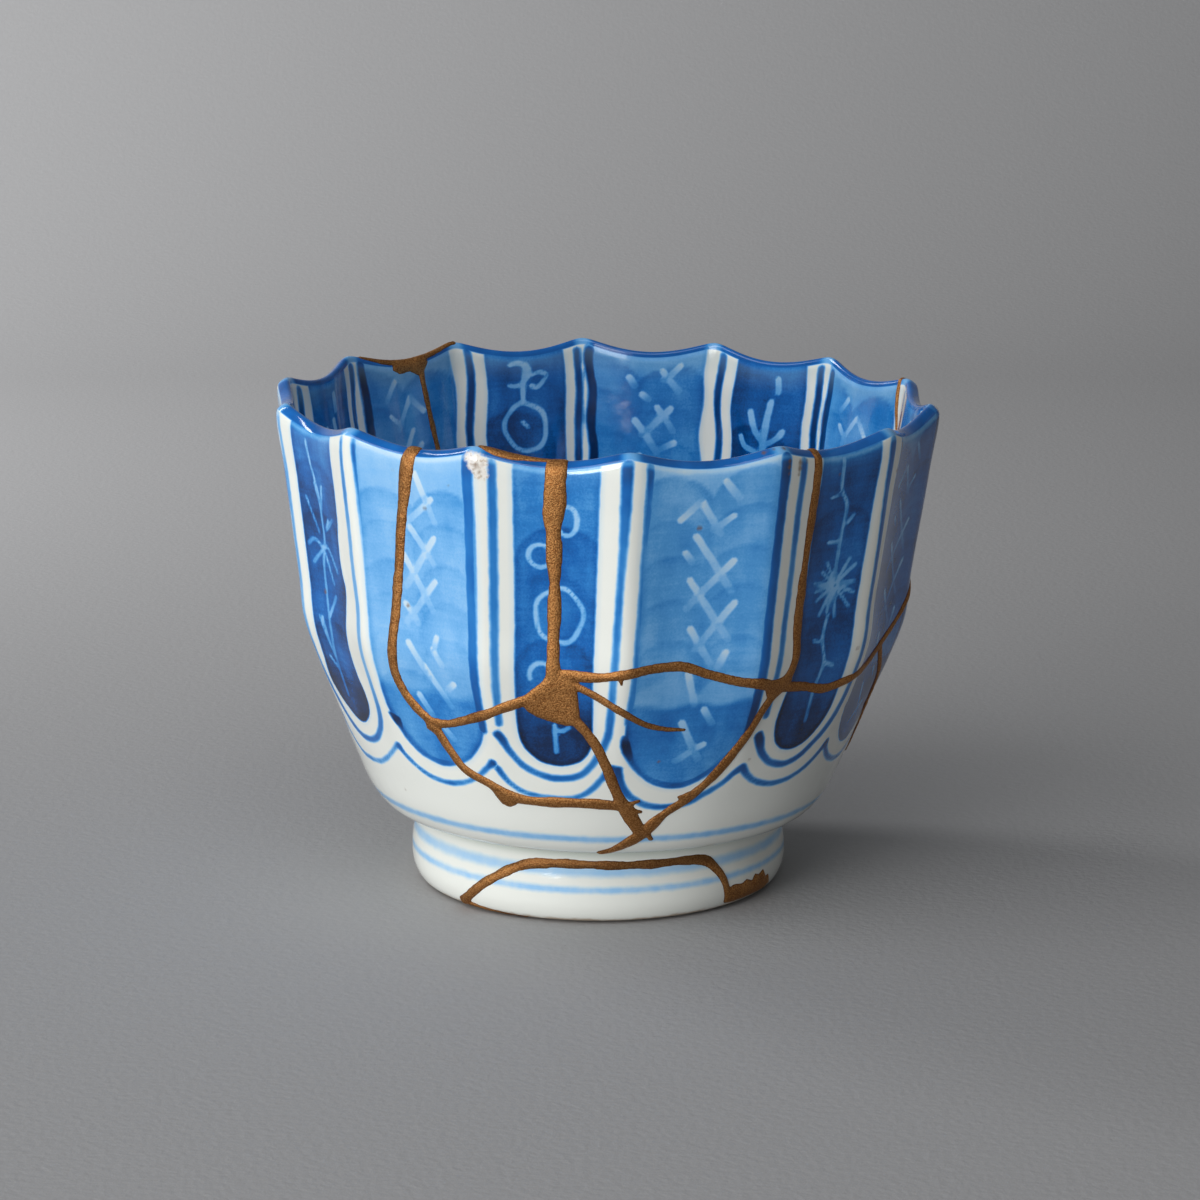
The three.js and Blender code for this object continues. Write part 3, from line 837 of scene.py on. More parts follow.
    def laid_flat(self, points: Points, side: Side, curved: bool = True) -> np.ndarray:
        """Lays a panel's points out flat.

        Args:
            points: The points, as (degrees from the flute's left ridge, height, ...).
            side: The face of the wall.
            curved: Whether a smooth curve is drawn through them.

        Returns:
            The points in mm, one row each, with what follows the height unchanged.
        """
        rows = np.array(points, float)
        across, down = self.form.flat(rows[:, 0] - self.form.flute_angle / 2, rows[:, 1], side)
        rows[:, 0], rows[:, 1] = across, down
        return smooth_curve(rows, self.curve_step) if curved and len(rows) > 2 else rows

    def mark_spots(self, spots: Points, edge: np.ndarray, columns: np.ndarray, rows: np.ndarray) -> None:
        """Marks round spots of the outside.

        Args:
            spots: The spots, as rows of (azimuth, height on the outside, radius).
            edge: The edge field that they go into, changed in place.
            columns: The azimuths of the grid's places.
            rows: Their distances from the crest.
        """
        for azimuth, height, radius in spots:
            down = self.form.outside(height)
            away = np.mod(columns - azimuth + 180, 360) - 180
            flat = np.hypot(np.radians(away) * self.form.radius_at(down), rows - down)
            np.maximum(edge, radius - flat, out=edge)

    def turn_lines(self, made: dict[Field, np.ndarray]) -> None:
        """Adds the lines that run all round: above the foot, on the foot and on the inside floor.

        Args:
            made: The fields of the surface, changed in place.
        """
        outside = made[Field.FROM_RIM] > 0
        height = made[Field.HEIGHT]
        radius = self.form.radius_at(made[Field.FROM_RIM])
        beyond_foot = outside & (radius > self.form.under_edge[1][0])
        turned = []
        for level, width, tone in self.body_line + self.foot_lines:
            edge = (width / 2 - np.abs(height - level)) * self.blur
            turned.append((np.where(beyond_foot, edge, FAR_OUTSIDE), tone))
        ring_radius, ring_width, ring_tone = self.floor_line
        edge = ring_width / 2 - np.abs(radius - ring_radius)
        turned.append((np.where(outside, FAR_OUTSIDE, edge), ring_tone))
        for edge, tone in turned:
            nearer = edge > made[Field.LINE]
            made[Field.LINE] = np.where(nearer, edge, made[Field.LINE])
            made[Field.LINE_TONE] = np.where(nearer, tone, made[Field.LINE_TONE])


class Value:
    """A socket's number, with Python's operators for the Math nodes that work on it."""

    def __init__(self, shader: Shader, socket: bpy.types.NodeSocket) -> None:
        """Keeps the socket and the shader that it belongs to."""
        self.shader = shader
        self.socket = socket

    def _math(self, operation: str, first: Value | float, second: Value | float = 0.0) -> Value:
        """Adds a Math node."""
        made = self.shader.node("ShaderNodeMath", {"operation": operation}, {0: first, 1: second})
        return Value(self.shader, made.outputs[0])

    def __add__(self, other: Value | float) -> Value:
        """Adds."""
        return self._math("ADD", self, other)

    __radd__ = __add__

    def __sub__(self, other: Value | float) -> Value:
        """Subtracts."""
        return self._math("SUBTRACT", self, other)

    def __rsub__(self, other: Value | float) -> Value:
        """Subtracts from a number."""
        return self._math("SUBTRACT", other, self)

    def __mul__(self, other: Value | float) -> Value:
        """Multiplies."""
        return self._math("MULTIPLY", self, other)

    __rmul__ = __mul__

    def most(self, other: Value | float) -> Value:
        """The greater of two numbers."""
        return self._math("MAXIMUM", self, other)

    def size(self) -> Value:
        """The number without its sign."""
        return self._math("ABSOLUTE", self)

    def rising(self, low: float, high: float) -> Value:
        """Makes a mask that rises smoothly, or falls where high is the lower one.

        Args:
            low: The number where the mask is 0.
            high: The number where it is 1.

        Returns:
            The mask.
        """
        start, end = (0.0, 1.0) if high > low else (1.0, 0.0)
        ends = {"From Min": min(low, high), "From Max": max(low, high), "To Min": start, "To Max": end}
        smooth = {"interpolation_type": "SMOOTHSTEP"}
        made = self.shader.node("ShaderNodeMapRange", smooth, {"Value": self, **ends})
        return Value(self.shader, made.outputs[0])


class Shader:
    """A material that is built up from nodes."""

    def __init__(self, name: str) -> None:
        """Starts an empty material.

        Args:
            name: The material's name.
        """
        self.material = bpy.data.materials.new(name)
        self.material.use_nodes = True
        self.tree = self.material.node_tree
        self.tree.nodes.clear()
        where = self.node("ShaderNodeTexCoord").outputs["Object"]
        in_mm = self.node("ShaderNodeVectorMath", {"operation": "SCALE"}, {0: where, "Scale": 1 / MM})
        self.place = in_mm.outputs[0]

    def node(
        self,
        kind: str,
        settings: dict[str, object] | None = None,
        sockets: dict[str | int, object] | None = None,
    ) -> bpy.types.Node:
        """Adds any node.

        Args:
            kind: The node's type.
            settings: Its settings, set first. "stops" are a ramp's positions and colours.
            sockets: The value or link of each input, by name or number.

        Returns:
            The node.
        """
        made = self.tree.nodes.new(kind)
        for name, value in (settings or {}).items():
            if name == "stops":
                self._set_stops(made.color_ramp, value)
            else:
                setattr(made, name, value)
        for name, value in (sockets or {}).items():
            if isinstance(value, Value):
                value = value.socket
            if isinstance(value, bpy.types.NodeSocket):
                self.tree.links.new(value, made.inputs[name])
            else:
                made.inputs[name].default_value = value
        return made

    @staticmethod
    def _set_stops(ramp: bpy.types.ColorRamp, stops: Iterable[tuple[float, Colour]]) -> None:
        """Gives a ramp its positions and colours.

        Args:
            ramp: The ramp.
            stops: The positions, from 0 to 1, and their colours.
        """
        for i, (position, colour) in enumerate(stops):
            stop = ramp.elements[i] if i < 2 else ramp.elements.new(position)
            stop.position = position
            stop.color = (*colour, 1)

    def read(self, kind: Field) -> Value:
        """A field that is stored in the mesh."""
        return Value(self, self.node("ShaderNodeAttribute", {"attribute_name": kind.value}).outputs["Fac"])

    def noise(self, size: float, detail: float = 2, stretch: Colour = (1, 1, 1)) -> Value:
        """Noise between about -1 and 1.

        Args:
            size: The size of its patches, in mm.
            detail: How many finer layers it has.
            stretch: How many times longer the patches are along x, y and z.

        Returns:
            The noise.
        """
        shrink = tuple(1 / times for times in stretch)
        squeezed = self.node("ShaderNodeVectorMath", {"operation": "MULTIPLY"}, {0: self.place, 1: shrink})
        sockets = {"Vector": squeezed.outputs[0], "Scale": 1 / size, "Detail": detail}
        return Value(self, self.node("ShaderNodeTexNoise", None, sockets).outputs[0]) * 2 - 1

    def mix(self, factor: Value, plain: object, changed: object) -> bpy.types.NodeSocket:
        """A colour that goes from plain to changed as factor goes from 0 to 1."""
        plain, changed = ((*c, 1) if isinstance(c, tuple) else c for c in (plain, changed))
        return self.node("ShaderNodeMix", {"data_type": "RGBA"}, {0: factor, 6: plain, 7: changed}).outputs[2]

    def ramp(self, value: Value, stops: Iterable[tuple[float, Colour]]) -> bpy.types.NodeSocket:
        """A colour that follows a value from 0 to 1 through stops."""
        return self.node("ShaderNodeValToRGB", {"stops": stops}, {0: value}).outputs[0]

    def bump(self, height: Value, depth: float) -> bpy.types.NodeSocket:
        """A normal that follows a height, where 1 is depth mm."""
        return self.node("ShaderNodeBump", None, {"Distance": depth * MM, "Height": height}).outputs[0]

    def finish(self, sockets: dict[str, object]) -> bpy.types.Material:
        """Closes the material with its surface.

        Args:
            sockets: The values or links of the Principled BSDF's sockets.

        Returns:
            The material.
        """
        surface = self.node("ShaderNodeBsdfPrincipled", None, sockets)
        self.node("ShaderNodeOutputMaterial", None, {"Surface": surface.outputs[0]})
        return self.material


@dataclass(frozen=True)
class BluePaintedGlaze:
    """White porcelain painted in cobalt blue under a clear glaze."""

    full_tone: float = 2.4
    cobalt: tuple[tuple[float, Colour], ...] = (
        (0, (0.80, 0.82, 0.77)),
        (0.06, (0.60, 0.73, 0.80)),
        (0.14, (0.33, 0.58, 0.85)),
        (0.22, (0.18, 0.45, 0.80)),
        (0.31, (0.075, 0.32, 0.69)),
        (0.42, (0.020, 0.20, 0.56)),
        (0.54, (0.003, 0.115, 0.42)),
        (0.70, (0.001, 0.05, 0.20)),
        (0.86, (0.001, 0.02, 0.085)),
        (1, (0.001, 0.01, 0.04)),
    )
    # Grey-green of glaze pooled in the crease above the foot, darkened further as painted shade under the
    # body's overhang.
    crease_pool_and_painted_shade: Colour = (0.42, 0.50, 0.43)
    thin_green: Colour = (0.20, 0.32, 0.33)
    bare_white: Colour = (0.78, 0.74, 0.68)
    bare_stained: Colour = (0.40, 0.29, 0.19)
    iron_brown: Colour = (0.15, 0.075, 0.022)
    raw_clay: Colour = (0.38, 0.27, 0.17)
    edge_softness: float = 0.22
    stroke_paleness: float = 0.68
    roughness: float = 0.09

    def material(self) -> bpy.types.Material:
        """Builds the material.

        Returns:
            The material.
        """
        s = Shader("blue_painted_glaze")
        wobble = s.noise(1.3, 3)
        water = s.noise(3.2, 4, (1, 1, 2.4))
        tone = self._tone(s, wobble, water)
        colour = s.ramp(tone * (1 / self.full_tone), self.cobalt)
        height = s.read(Field.HEIGHT)
        from_rim = s.read(Field.FROM_RIM)
        near_rim = (from_rim.size() + water * 1.5).rising(4.5, 1.6) * from_rim.size().rising(0.9, 1.7)
        haze = near_rim * (from_rim.rising(0.5, -0.5) * 0.16 + 0.06)
        colour = s.mix(haze, colour, self.thin_green)
        outside = from_rim.rising(0, 0.5)
        # Painted shade with pooled glaze: the crease where the body meets the foot is darkened towards
        # grey-green, on the outside only.
        crease_pool_and_shade_mask = (height - 8.6).size().rising(1.4, 0.1) * outside * 0.6
        colour = s.mix(crease_pool_and_shade_mask, colour, self.crease_pool_and_painted_shade)
        grit = s.noise(0.35, 3)
        bare = (s.read(Field.BARE) + wobble * 0.5 + grit * 0.3).rising(-0.3, 0.2)
        broken = s.mix((grit * 2 + wobble).rising(0, 0.8) * 0.7, self.bare_white, self.bare_stained)
        colour = s.mix(bare * 0.92, colour, broken)
        speck = (s.read(Field.SPECK) + wobble * 0.12).rising(-0.22, 0.16)
        colour = s.mix(speck * 0.75, colour, self.iron_brown)
        raw = (height + wobble * 0.4).rising(0.75, 0.35) * outside
        colour = s.mix(raw * 0.8, colour, self.raw_clay)
        rough = (bare * 0.35 + raw * 0.5 + water * 0.02 + self.roughness).most(0.04)
        ripple = s.noise(2.6, 2) * 0.6 + grit * 0.08 + bare * grit * 2
        return s.finish(
            {
                "Base Color": colour,
                "Roughness": rough,
                "IOR": 1.5,
                "Normal": s.bump(ripple, 0.02),
                "Coat Weight": 0.2,
                "Coat Roughness": 0.03,
            }
        )

    def _tone(self, s: Shader, wobble: Value, water: Value) -> Value:
        """Works out the depth of the blue.

        Args:
            s: The shader.
            wobble: The fine unevenness of edges.
            water: The broad unevenness of the washes.

        Returns:
            The depth of the panels less their pale strokes, of the lines and of the wash on the rim.
        """
        soft = self.edge_softness
        fill_edge = s.read(Field.FILL) + wobble * 0.09
        pooled = fill_edge.rising(0.9, 0) * (s.read(Field.HEIGHT).rising(31, 24) * 0.3 + 0.14)
        streaks = s.noise(0.5, 2, (9, 9, 1))
        grains = s.noise(0.22, 1)
        watery = water * 0.42 + s.noise(7, 2) * 0.25 + streaks * 0.12 + grains * 0.14 + 1
        fill = fill_edge.rising(-soft, soft) * (s.read(Field.TONE) * watery + pooled)
        line_tone = s.read(Field.LINE_TONE)
        smeared = s.read(Field.FROM_RIM).rising(5, 1.8) * 0.3 + 1
        line = (s.read(Field.LINE) + wobble * 0.12).rising(-soft, soft * 1.4) * line_tone
        line = line * (water * 0.4 + 1.08) * smeared
        bleed = fill_edge.rising(-0.8, 0) * 0.1
        stroke = (s.read(Field.STROKE) + wobble * 0.12).rising(-0.18, 0.14)
        stroke = stroke * s.read(Field.STROKE_TONE) * self.stroke_paleness
        painted = fill.most(bleed) * (1 - stroke)
        painted = painted.most(line)
        from_rim = s.read(Field.FROM_RIM)
        from_top = (from_rim - 0.12).size()
        runs = s.noise(0.9, 2, (1, 1, 5)) * 0.5
        pale_edge = (from_top - 1.36 + wobble * 0.12).size().rising(0.55, 0)
        pale_edge = pale_edge * (from_rim.rising(-0.5, 0.5) * 0.3 + 0.12)
        thin_glaze = (from_top + runs).rising(3.2, 1.3) * 0.14
        painted = painted * (1 - pale_edge) * (1 - thin_glaze)
        top = from_top.rising(1.2, 0.95) * (s.read(Field.PRESSED).rising(0, 0.2) * 0.55 + 0.45)
        return painted.most(top * (water * 0.35 + 1.35))


@dataclass(frozen=True)
class BronzedGoldLacquer:
    """Lacquer dusted with gold powder, satin, and darkened to bronze."""

    dark: Colour = (0.27, 0.107, 0.032)
    bright: Colour = (0.55, 0.275, 0.095)
    edge: Colour = (0.12, 0.04, 0.018)
    # Painted shade: the darker bronze that the seams are mixed towards under the body's overhang and low on
    # the cup.
    painted_shade_bronze: Colour = (0.10, 0.045, 0.02)
    foot_seam_height: float = 7.2

    def material(self) -> bpy.types.Material:
        """Builds the material.

        Returns:
            The material.
        """
        s = Shader("bronzed_gold_lacquer")
        grain = s.noise(0.16, 2)
        lumps = s.noise(0.9, 3)
        patches = s.noise(5, 2)
        colour = s.mix((grain * 1.5 + lumps * 0.2 + patches * 0.3 + 0.5).rising(0, 1), self.dark, self.bright)
        height = s.read(Field.HEIGHT)
        # Painted shade: the seam on the foot darkens under the body's overhang, and every seam a little more
        # the lower it lies below 30 mm.
        shaded = (height - self.foot_seam_height).size().rising(1.8, 0.4) + height.rising(30, 12) * 0.12
        colour = s.mix(shaded * 0.42, colour, self.painted_shade_bronze)
        rim = s.read(Field.LINE)
        colour = s.mix(rim.rising(0.16, 0) * 0.8, colour, self.edge)
        rough = grain * 0.2 + patches * 0.05 + 0.54
        return s.finish(
            {
                "Base Color": colour,
                "Roughness": rough,
                "Metallic": 1.0,
                "Normal": s.bump(grain * 1.4 + lumps * 0.5, 0.03),
            }
        )


@dataclass(frozen=True)
class StudioPaper:
    """Seamless pale grey paper."""

    colour: Colour = (0.32, 0.32, 0.325)

    def material(self) -> bpy.types.Material:
        """Builds the material.

        Returns:
            The material.
        """
        s = Shader("studio_paper")
        tooth = s.noise(0.9, 3)
        darker, lighter = (tuple(c * share for c in self.colour) for share in (0.97, 1.03))
        shade = s.mix(tooth * 0.5 + 0.5, darker, lighter)
        return s.finish({"Base Color": shade, "Roughness": 0.85, "Normal": s.bump(tooth, 0.04)})


def to_piece(
    name: str,
    places: np.ndarray,
    faces: Iterable[tuple[int, ...]],
    material: bpy.types.Material,
    node: str,
) -> bpy.types.Object:
    """Makes a smooth piece of the cup.

    Args:
        name: The piece's name.
        places: Its points, in mm.
        faces: Its faces, as numbers of points.
        material: Its finish.
        node: The CAD node that it stands for.

    Returns:
        The piece, riding on the cup's body.
    """
    mesh = bpy.data.meshes.new(name)
    mesh.from_pydata(places.reshape(-1, 3) * MM, [], faces)
    mesh.shade_smooth()
    mesh.materials.append(material)
    piece = bpy.data.objects.new(name, mesh)
    bpy.context.scene.collection.objects.link(piece)
    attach(piece, "root")
    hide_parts(node)
    return piece


def store(piece: bpy.types.Object, kind: Field, values: np.ndarray) -> None:
    """Stores a field in the points of a piece."""
    made = piece.data.attributes.new(kind.value, "FLOAT", "POINT")
    made.data.foreach_set("value", np.ascontiguousarray(values, np.float32).ravel())


@dataclass(frozen=True)
class PorcelainCup:
    """The vessel, in three sheets that meet edge to edge: the outside with the rim, the inside, the foot."""

    form: FlutedForm
    design: PaintedDesign
    columns: int = 602
    wall_step: float = 0.36
    rim_step: float = 0.15
    inside_step: float = 0.45
    hidden_step: float = 1.1
    foot_step: float = 0.3
    rim_reach: float = 1.5
    painted_depth: float = 17
    under_depth: float = 9
    axis_gap: float = 0.3

    def build(self, material: bpy.types.Material) -> list[bpy.types.Object]:
        """Builds the three sheets.

        Args:
            material: Their finish.

        Returns:
            The pieces.
        """
        joint = float(self.form.outside(self.form.foot_joint_height))
        foot_edge = float(self.form.outside(0.2))
        first, last = float(self.form.distances[0]), float(self.form.distances[-1])
        under = foot_edge + self.under_depth
        outside = self.steps((joint, self.rim_reach, -self.rim_reach), (self.wall_step, self.rim_step))
        inside = self.steps(
            (-self.rim_reach, -self.painted_depth, last + self.axis_gap), (self.inside_step, self.hidden_step)
        )
        foot = self.steps((first - self.axis_gap, under, joint), (self.hidden_step, self.foot_step))
        return [
            self.sheet("porcelain_outside", outside, material),
            self.sheet("porcelain_inside", inside, material, closed_at_end=True),
            self.sheet("porcelain_foot", foot, material, closed_at_start=True),
        ]

    @staticmethod
    def steps(stops: tuple[float, ...], lengths: tuple[float, ...]) -> np.ndarray:
        """Spaces rows evenly from stop to stop.

        Args:
            stops: The distances that have a row of their own.
            lengths: About how far apart the rows between two stops are, for each stretch.

        Returns:
            The rows' distances.
        """
        rows = [np.array(stops[:1], float)]
        for start, end, length in zip(stops, stops[1:], lengths):
            rows.append(np.linspace(start, end, math.ceil(abs(end - start) / length) + 1)[1:])
        return np.concatenate(rows)

    def sheet(
        self,
        name: str,
        distance: np.ndarray,
        material: bpy.types.Material,
        closed_at_start: bool = False,
        closed_at_end: bool = False,
    ) -> bpy.types.Object:
        """Builds one sheet that runs all round the cup.

        Args:
            name: The piece's name.
            distance: The distances from the crest of its rows, from the foot's side on.
            material: Its finish.
            closed_at_start: Whether the first row is closed over the axis.
            closed_at_end: Whether the last row is closed over the axis.

        Returns:
            The piece.
        """
        azimuth = self.form.first_ridge + np.arange(self.columns) * (360 / self.columns)
        places = self.form.at(azimuth[None, :], distance[:, None])
        numbers = np.arange(places.shape[0] * self.columns).reshape(-1, self.columns)
        after = np.roll(numbers, -1, axis=1)
        faces = np.stack((numbers[:-1], after[:-1], after[1:], numbers[1:]), axis=-1).reshape(-1, 4).tolist()
        if closed_at_start:
            faces.append(numbers[0][::-1].tolist())
        if closed_at_end:
            faces.append(numbers[-1].tolist())
        piece = to_piece(name, places, faces, material, CUP_NODE)
        for kind, values in self.design.fields(azimuth, distance).items():
            store(piece, kind, values)
        log.info("%s: %d points", name, len(piece.data.vertices))
        return piece


@dataclass(frozen=True)
class SeamNetwork:
    """One network of lacquer. Seams are rows of (azimuth, distance from the crest, width)."""

    name: str
    form: FlutedForm
    seams: tuple[Points, ...]
    patches: tuple[Points, ...]
    column_step: float = 0.3
    row_step: float = 0.18
    proud: float = 0.24
    crown: float = 0.3
    spread: float = 0.1
    fillet: float = 0.3
    sunk: float = 0.15
    lumpiness: float = 0.012
    curve_step: float = 0.12
    mm_per_degree: float = 0.6
    lowest: float = 0.02
    margin: tuple[float, float] = (4, 2.5)
    away_from_seams: float = -3.0
    seam_reach: float = 2.2
    edge_slope: float = 1.2
    edge_depth: float = 0.1

    def build(self, material: bpy.types.Material) -> bpy.types.Object:
        """Builds the network as one raised sheet whose edges dip into the porcelain.

        Args:
            material: Its finish.

        Returns:
            The piece.
        """
        marks = np.concatenate([np.array(path)[:, :2] for path in self.seams + self.patches])
        low, high = marks.min(0) - self.margin, marks.max(0) + self.margin
        azimuth = np.arange(low[0], high[0], self.column_step)
        distance = np.arange(high[1], low[1], -self.row_step)
        places = self.form.at(azimuth[None, :], distance[:, None])
        edge = np.full(places.shape[:2], self.away_from_seams)
        for number, path in enumerate(self.seams):
            edge = self.joined(edge, self.seam_edge(path, places, azimuth, distance, number))
        for corners in self.patches:
            edge = self.joined(edge, self.patch_edge(corners, azimuth, distance))
        edge = edge + self.spread + self.hand(places)
        swell = self.proud * (1 - np.exp(-np.maximum(edge, 0) / self.crown))
        lumps = self.lumpiness * Ripple(77, 1.1).at(*np.moveaxis(places, -1, 0))
        rise = np.maximum(np.where(edge > 0, swell + lumps, edge * self.edge_slope), -self.sunk)
        raised = places + self.form.outward(azimuth[None, :], distance[:, None]) * rise[..., None]
        raised[..., 2] = np.maximum(raised[..., 2], self.lowest)
        return self.cut_out(raised, edge, material)

    def seam_edge(
        self, path: Points, places: np.ndarray, azimuth: np.ndarray, distance: np.ndarray, number: int
    ) -> np.ndarray:
        """Measures how far the grid's places lie inside one seam.

        Args:
            path: The seam.
            places: The grid's places, in mm.
            azimuth: Its columns.
            distance: Its rows.
            number: The seam's number, which seeds its unevenness.

        Returns:
            The edge field of the seam.
        """
        stops = np.array(path, float)
        stops[:, 0] *= self.mm_per_degree
        curve = smooth_curve(stops, self.curve_step)
        curve[:, 0] /= self.mm_per_degree
        middle = self.form.at(curve[:, 0], curve[:, 1])
        along = np.arange(len(curve)) * self.curve_step
        hand = 1 + 0.11 * Ripple(200 + number, 5).at(along) + 0.03 * Ripple(300 + number, 1.5).at(along)
        width = curve[:, 2] * hand
        edge = np.full(places.shape[:2], self.away_from_seams)
        reach = self.seam_reach
        for (turn, down, _), spot, across in zip(curve, middle, width):
            turned = math.degrees(reach / max(float(self.form.radius_at(down)), 1))
            columns = slice(*np.searchsorted(azimuth, (turn - turned, turn + turned)))
            rows = slice(*np.searchsorted(-distance, (-down - reach, -down + reach)))
            away = np.linalg.norm(places[rows, columns] - spot, axis=-1)
            np.maximum(edge[rows, columns], across / 2 - away, out=edge[rows, columns])
        return edge

    def patch_edge(self, corners: Points, azimuth: np.ndarray, distance: np.ndarray) -> np.ndarray:
        """Measures how far the grid's places lie inside a filled patch.

        Args:
            corners: The patch's outline.
            azimuth: The grid's columns.
            distance: Its rows.

        Returns:
            The edge field of the patch.
        """
        outline = np.array(corners, float)
        middle = outline.mean(0)
        scale = np.radians(float(self.form.radius_at(middle[1])))
        x = np.broadcast_to((azimuth - middle[0]) * scale, (len(distance), len(azimuth)))
        y = np.broadcast_to(distance[:, None], x.shape)
        outline[:, 0] = (outline[:, 0] - middle[0]) * scale
        return np.maximum(area_edge(x, y, outline[:, :2]), self.away_from_seams)

    def joined(self, first: np.ndarray, second: np.ndarray) -> np.ndarray:
        """Joins two shapes with a small fillet between them."""
        share = np.clip(0.5 + 0.5 * (second - first) / self.fillet, 0, 1)
        return first + (second - first) * share + self.fillet * share * (1 - share) * 0.5

    def hand(self, places: np.ndarray) -> np.ndarray:
        """The unevenness of a brushed edge, in mm."""
        spots = np.moveaxis(places, -1, 0)
        return 0.04 * Ripple(11, 3.4).at(*spots) + 0.012 * Ripple(12, 0.9).at(*spots)

    def cut_out(self, raised: np.ndarray, edge: np.ndarray, material: bpy.types.Material) -> bpy.types.Object:
        """Keeps the cells of the grid that the lacquer covers.

        Args:
            raised: The grid's places, in mm.
            edge: The edge field.
            material: The finish.

        Returns:
            The piece.
        """
        most = np.maximum.reduce((edge[:-1, :-1], edge[:-1, 1:], edge[1:, :-1], edge[1:, 1:]))
        numbers = np.arange(edge.size).reshape(edge.shape)
        cells = np.stack((numbers[:-1, :-1], numbers[:-1, 1:], numbers[1:, 1:], numbers[1:, :-1]), axis=-1)
        cells = cells[most > -self.edge_depth]
        used, faces = np.unique(cells, return_inverse=True)
        name = self.name.replace("seam", "lacquer")
        corners = faces.reshape(-1, 4).tolist()
        piece = to_piece(name, raised.reshape(-1, 3)[used], corners, material, self.name)
        store(piece, Field.LINE, edge.ravel()[used])
        store(piece, Field.HEIGHT, raised[..., 2].ravel()[used])
        log.info("%s: %d points", piece.name, len(piece.data.vertices))
        return piece


@dataclass(frozen=True)
class Lacquer:
    """Every seam and patch of gold lacquer.

    Seams on the wall are rows of (azimuth, height on the outside, width), and those along the rim have the
    distance from the crest in place of the height. Patches are outlines without a width.
    """

    form: FlutedForm
    inside_width: float = 0.8

    rim_seams: tuple[Points, ...] = (
        ((-34.6, 55.8, 1.5), (-35.6, 52.4, 1.4), (-37.4, 47, 1.15), (-38.7, 42.2, 1), (-40, 37.5, 1),
         (-41.4, 33.1, 0.95), (-42.1, 29.7, 0.95), (-41.2, 27.3, 0.95), (-38.6, 25.2, 1.05),
         (-35.8, 23.9, 1.15)),
        ((-8, 55.8, 2.3), (-8.2, 52, 2.2), (-8.7, 49.3, 1.95), (-8.6, 47.5, 1.6), (-8.5, 41, 1.3),
         (-8.7, 36, 1.2), (-8.8, 31.2, 1.6)),
        ((38.2, 55.8, 1.2), (38.4, 50, 1.05), (38.1, 43, 0.95), (37.9, 39, 1.25), (38, 35, 1.2),
         (38.3, 31.6, 1.15), (36.6, 29.3, 1.3), (35.2, 28.8, 1.3)),
        ((108.7, 55.8, 0.5), (107.5, 51.5, 0.6), (101, 46.5, 0.8), (90, 40, 0.8), (77.2, 32.4, 0.8),
         (64.9, 28.5, 1), (55.5, 28, 0.95), (48.6, 27.4, 1), (41.5, 28.3, 1), (35.2, 28.8, 1.2)),
    )
    wall_seams: tuple[Points, ...] = (
        ((-9, 29.3, 1.3), (-17.1, 27.5, 1.1), (-25.4, 25.4, 0.95), (-31.5, 24.2, 0.8), (-35.8, 23.9, 1)),
        ((-35.8, 23.9, 1.2), (-32.4, 20.8, 1), (-29.8, 18.9, 1), (-24.5, 17.6, 1), (-19.8, 16.3, 1.25),
         (-13, 15.9, 1.2), (-6, 16, 1.1), (1, 15.9, 1), (6.2, 15.5, 1.2)),
        ((-5.5, 26.4, 1.1), (-1.6, 23.8, 1.1), (1, 20.9, 0.95), (3.2, 17.8, 1.1), (5.2, 15.8, 1.5),
         (9.8, 12.2, 1.3)),
        ((-7, 31.3, 1.2), (-1, 31.3, 1), (4.1, 31.8, 1), (9.5, 32.3, 0.95), (15.2, 32.2, 0.9),
         (20, 31.2, 0.9), (25.8, 30.2, 1), (30.5, 29.7, 1.1), (35.2, 28.8, 1.3)),
        ((35.2, 28.8, 1.3), (32.6, 26.6, 1.1), (30.2, 23.6, 1.05), (25.5, 19.4, 1), (20.1, 16.5, 1.05),
         (14.5, 14.4, 1), (9.7, 11.9, 1.4), (4, 10, 1.1), (0.6, 9.45, 0.7)),
    )
    hairlines: tuple[Points, ...] = (
        ((-6.5, 30.6, 0.9), (-1, 29.1, 0.85), (3.5, 27.5, 0.75), (8, 25.9, 0.55), (12, 25.1, 0.45),
         (16.5, 24.8, 0.25)),
        ((70.2, 30, 0.8), (77, 25.4, 0.7), (78.5, 21, 0.6), (81, 16, 0.3)),
    )
    spurs: tuple[Points, ...] = (
        ((6.5, 15.9, 0.5), (8.6, 16.3, 0.2)),
        ((6.8, 15.2, 0.7), (9.2, 14.9, 0.25)),
        ((10.5, 12.6, 0.6), (12.5, 11.3, 0.3)),
        ((3.3, 31.4, 0.4), (3.5, 30.7, 0.15)),
    )
    hub: Points = ((-9.8, 25.9), (-6.5, 25.4), (-3.9, 25.6), (-4.4, 28.3), (-4.6, 29.7), (-5.4, 31),
                   (-9.3, 31.7), (-11, 30.4), (-13.6, 29), (-15.4, 27.9), (-14, 26.9), (-12.3, 26.3))
    knot: Points = ((34.6, 27.4), (36.8, 28.2), (38.6, 29.4), (38.2, 30.4), (35, 29.9), (31, 29.8),
                    (32.6, 28))
    left_lump: Points = ((-37.6, 24.2), (-35.2, 24.4), (-34.2, 23.4), (-35.6, 22.6), (-37.4, 23.1))
    bottom_lobe: Points = ((-25, 17.8), (-21, 17), (-18.2, 16.1), (-18.8, 15.3), (-20.4, 14.9), (-22, 15.2),
                           (-23.6, 16.5))
    wart: Points = ((17.2, 16.6), (19.6, 17.1), (21, 16.7), (20.2, 16), (18.6, 15.6))

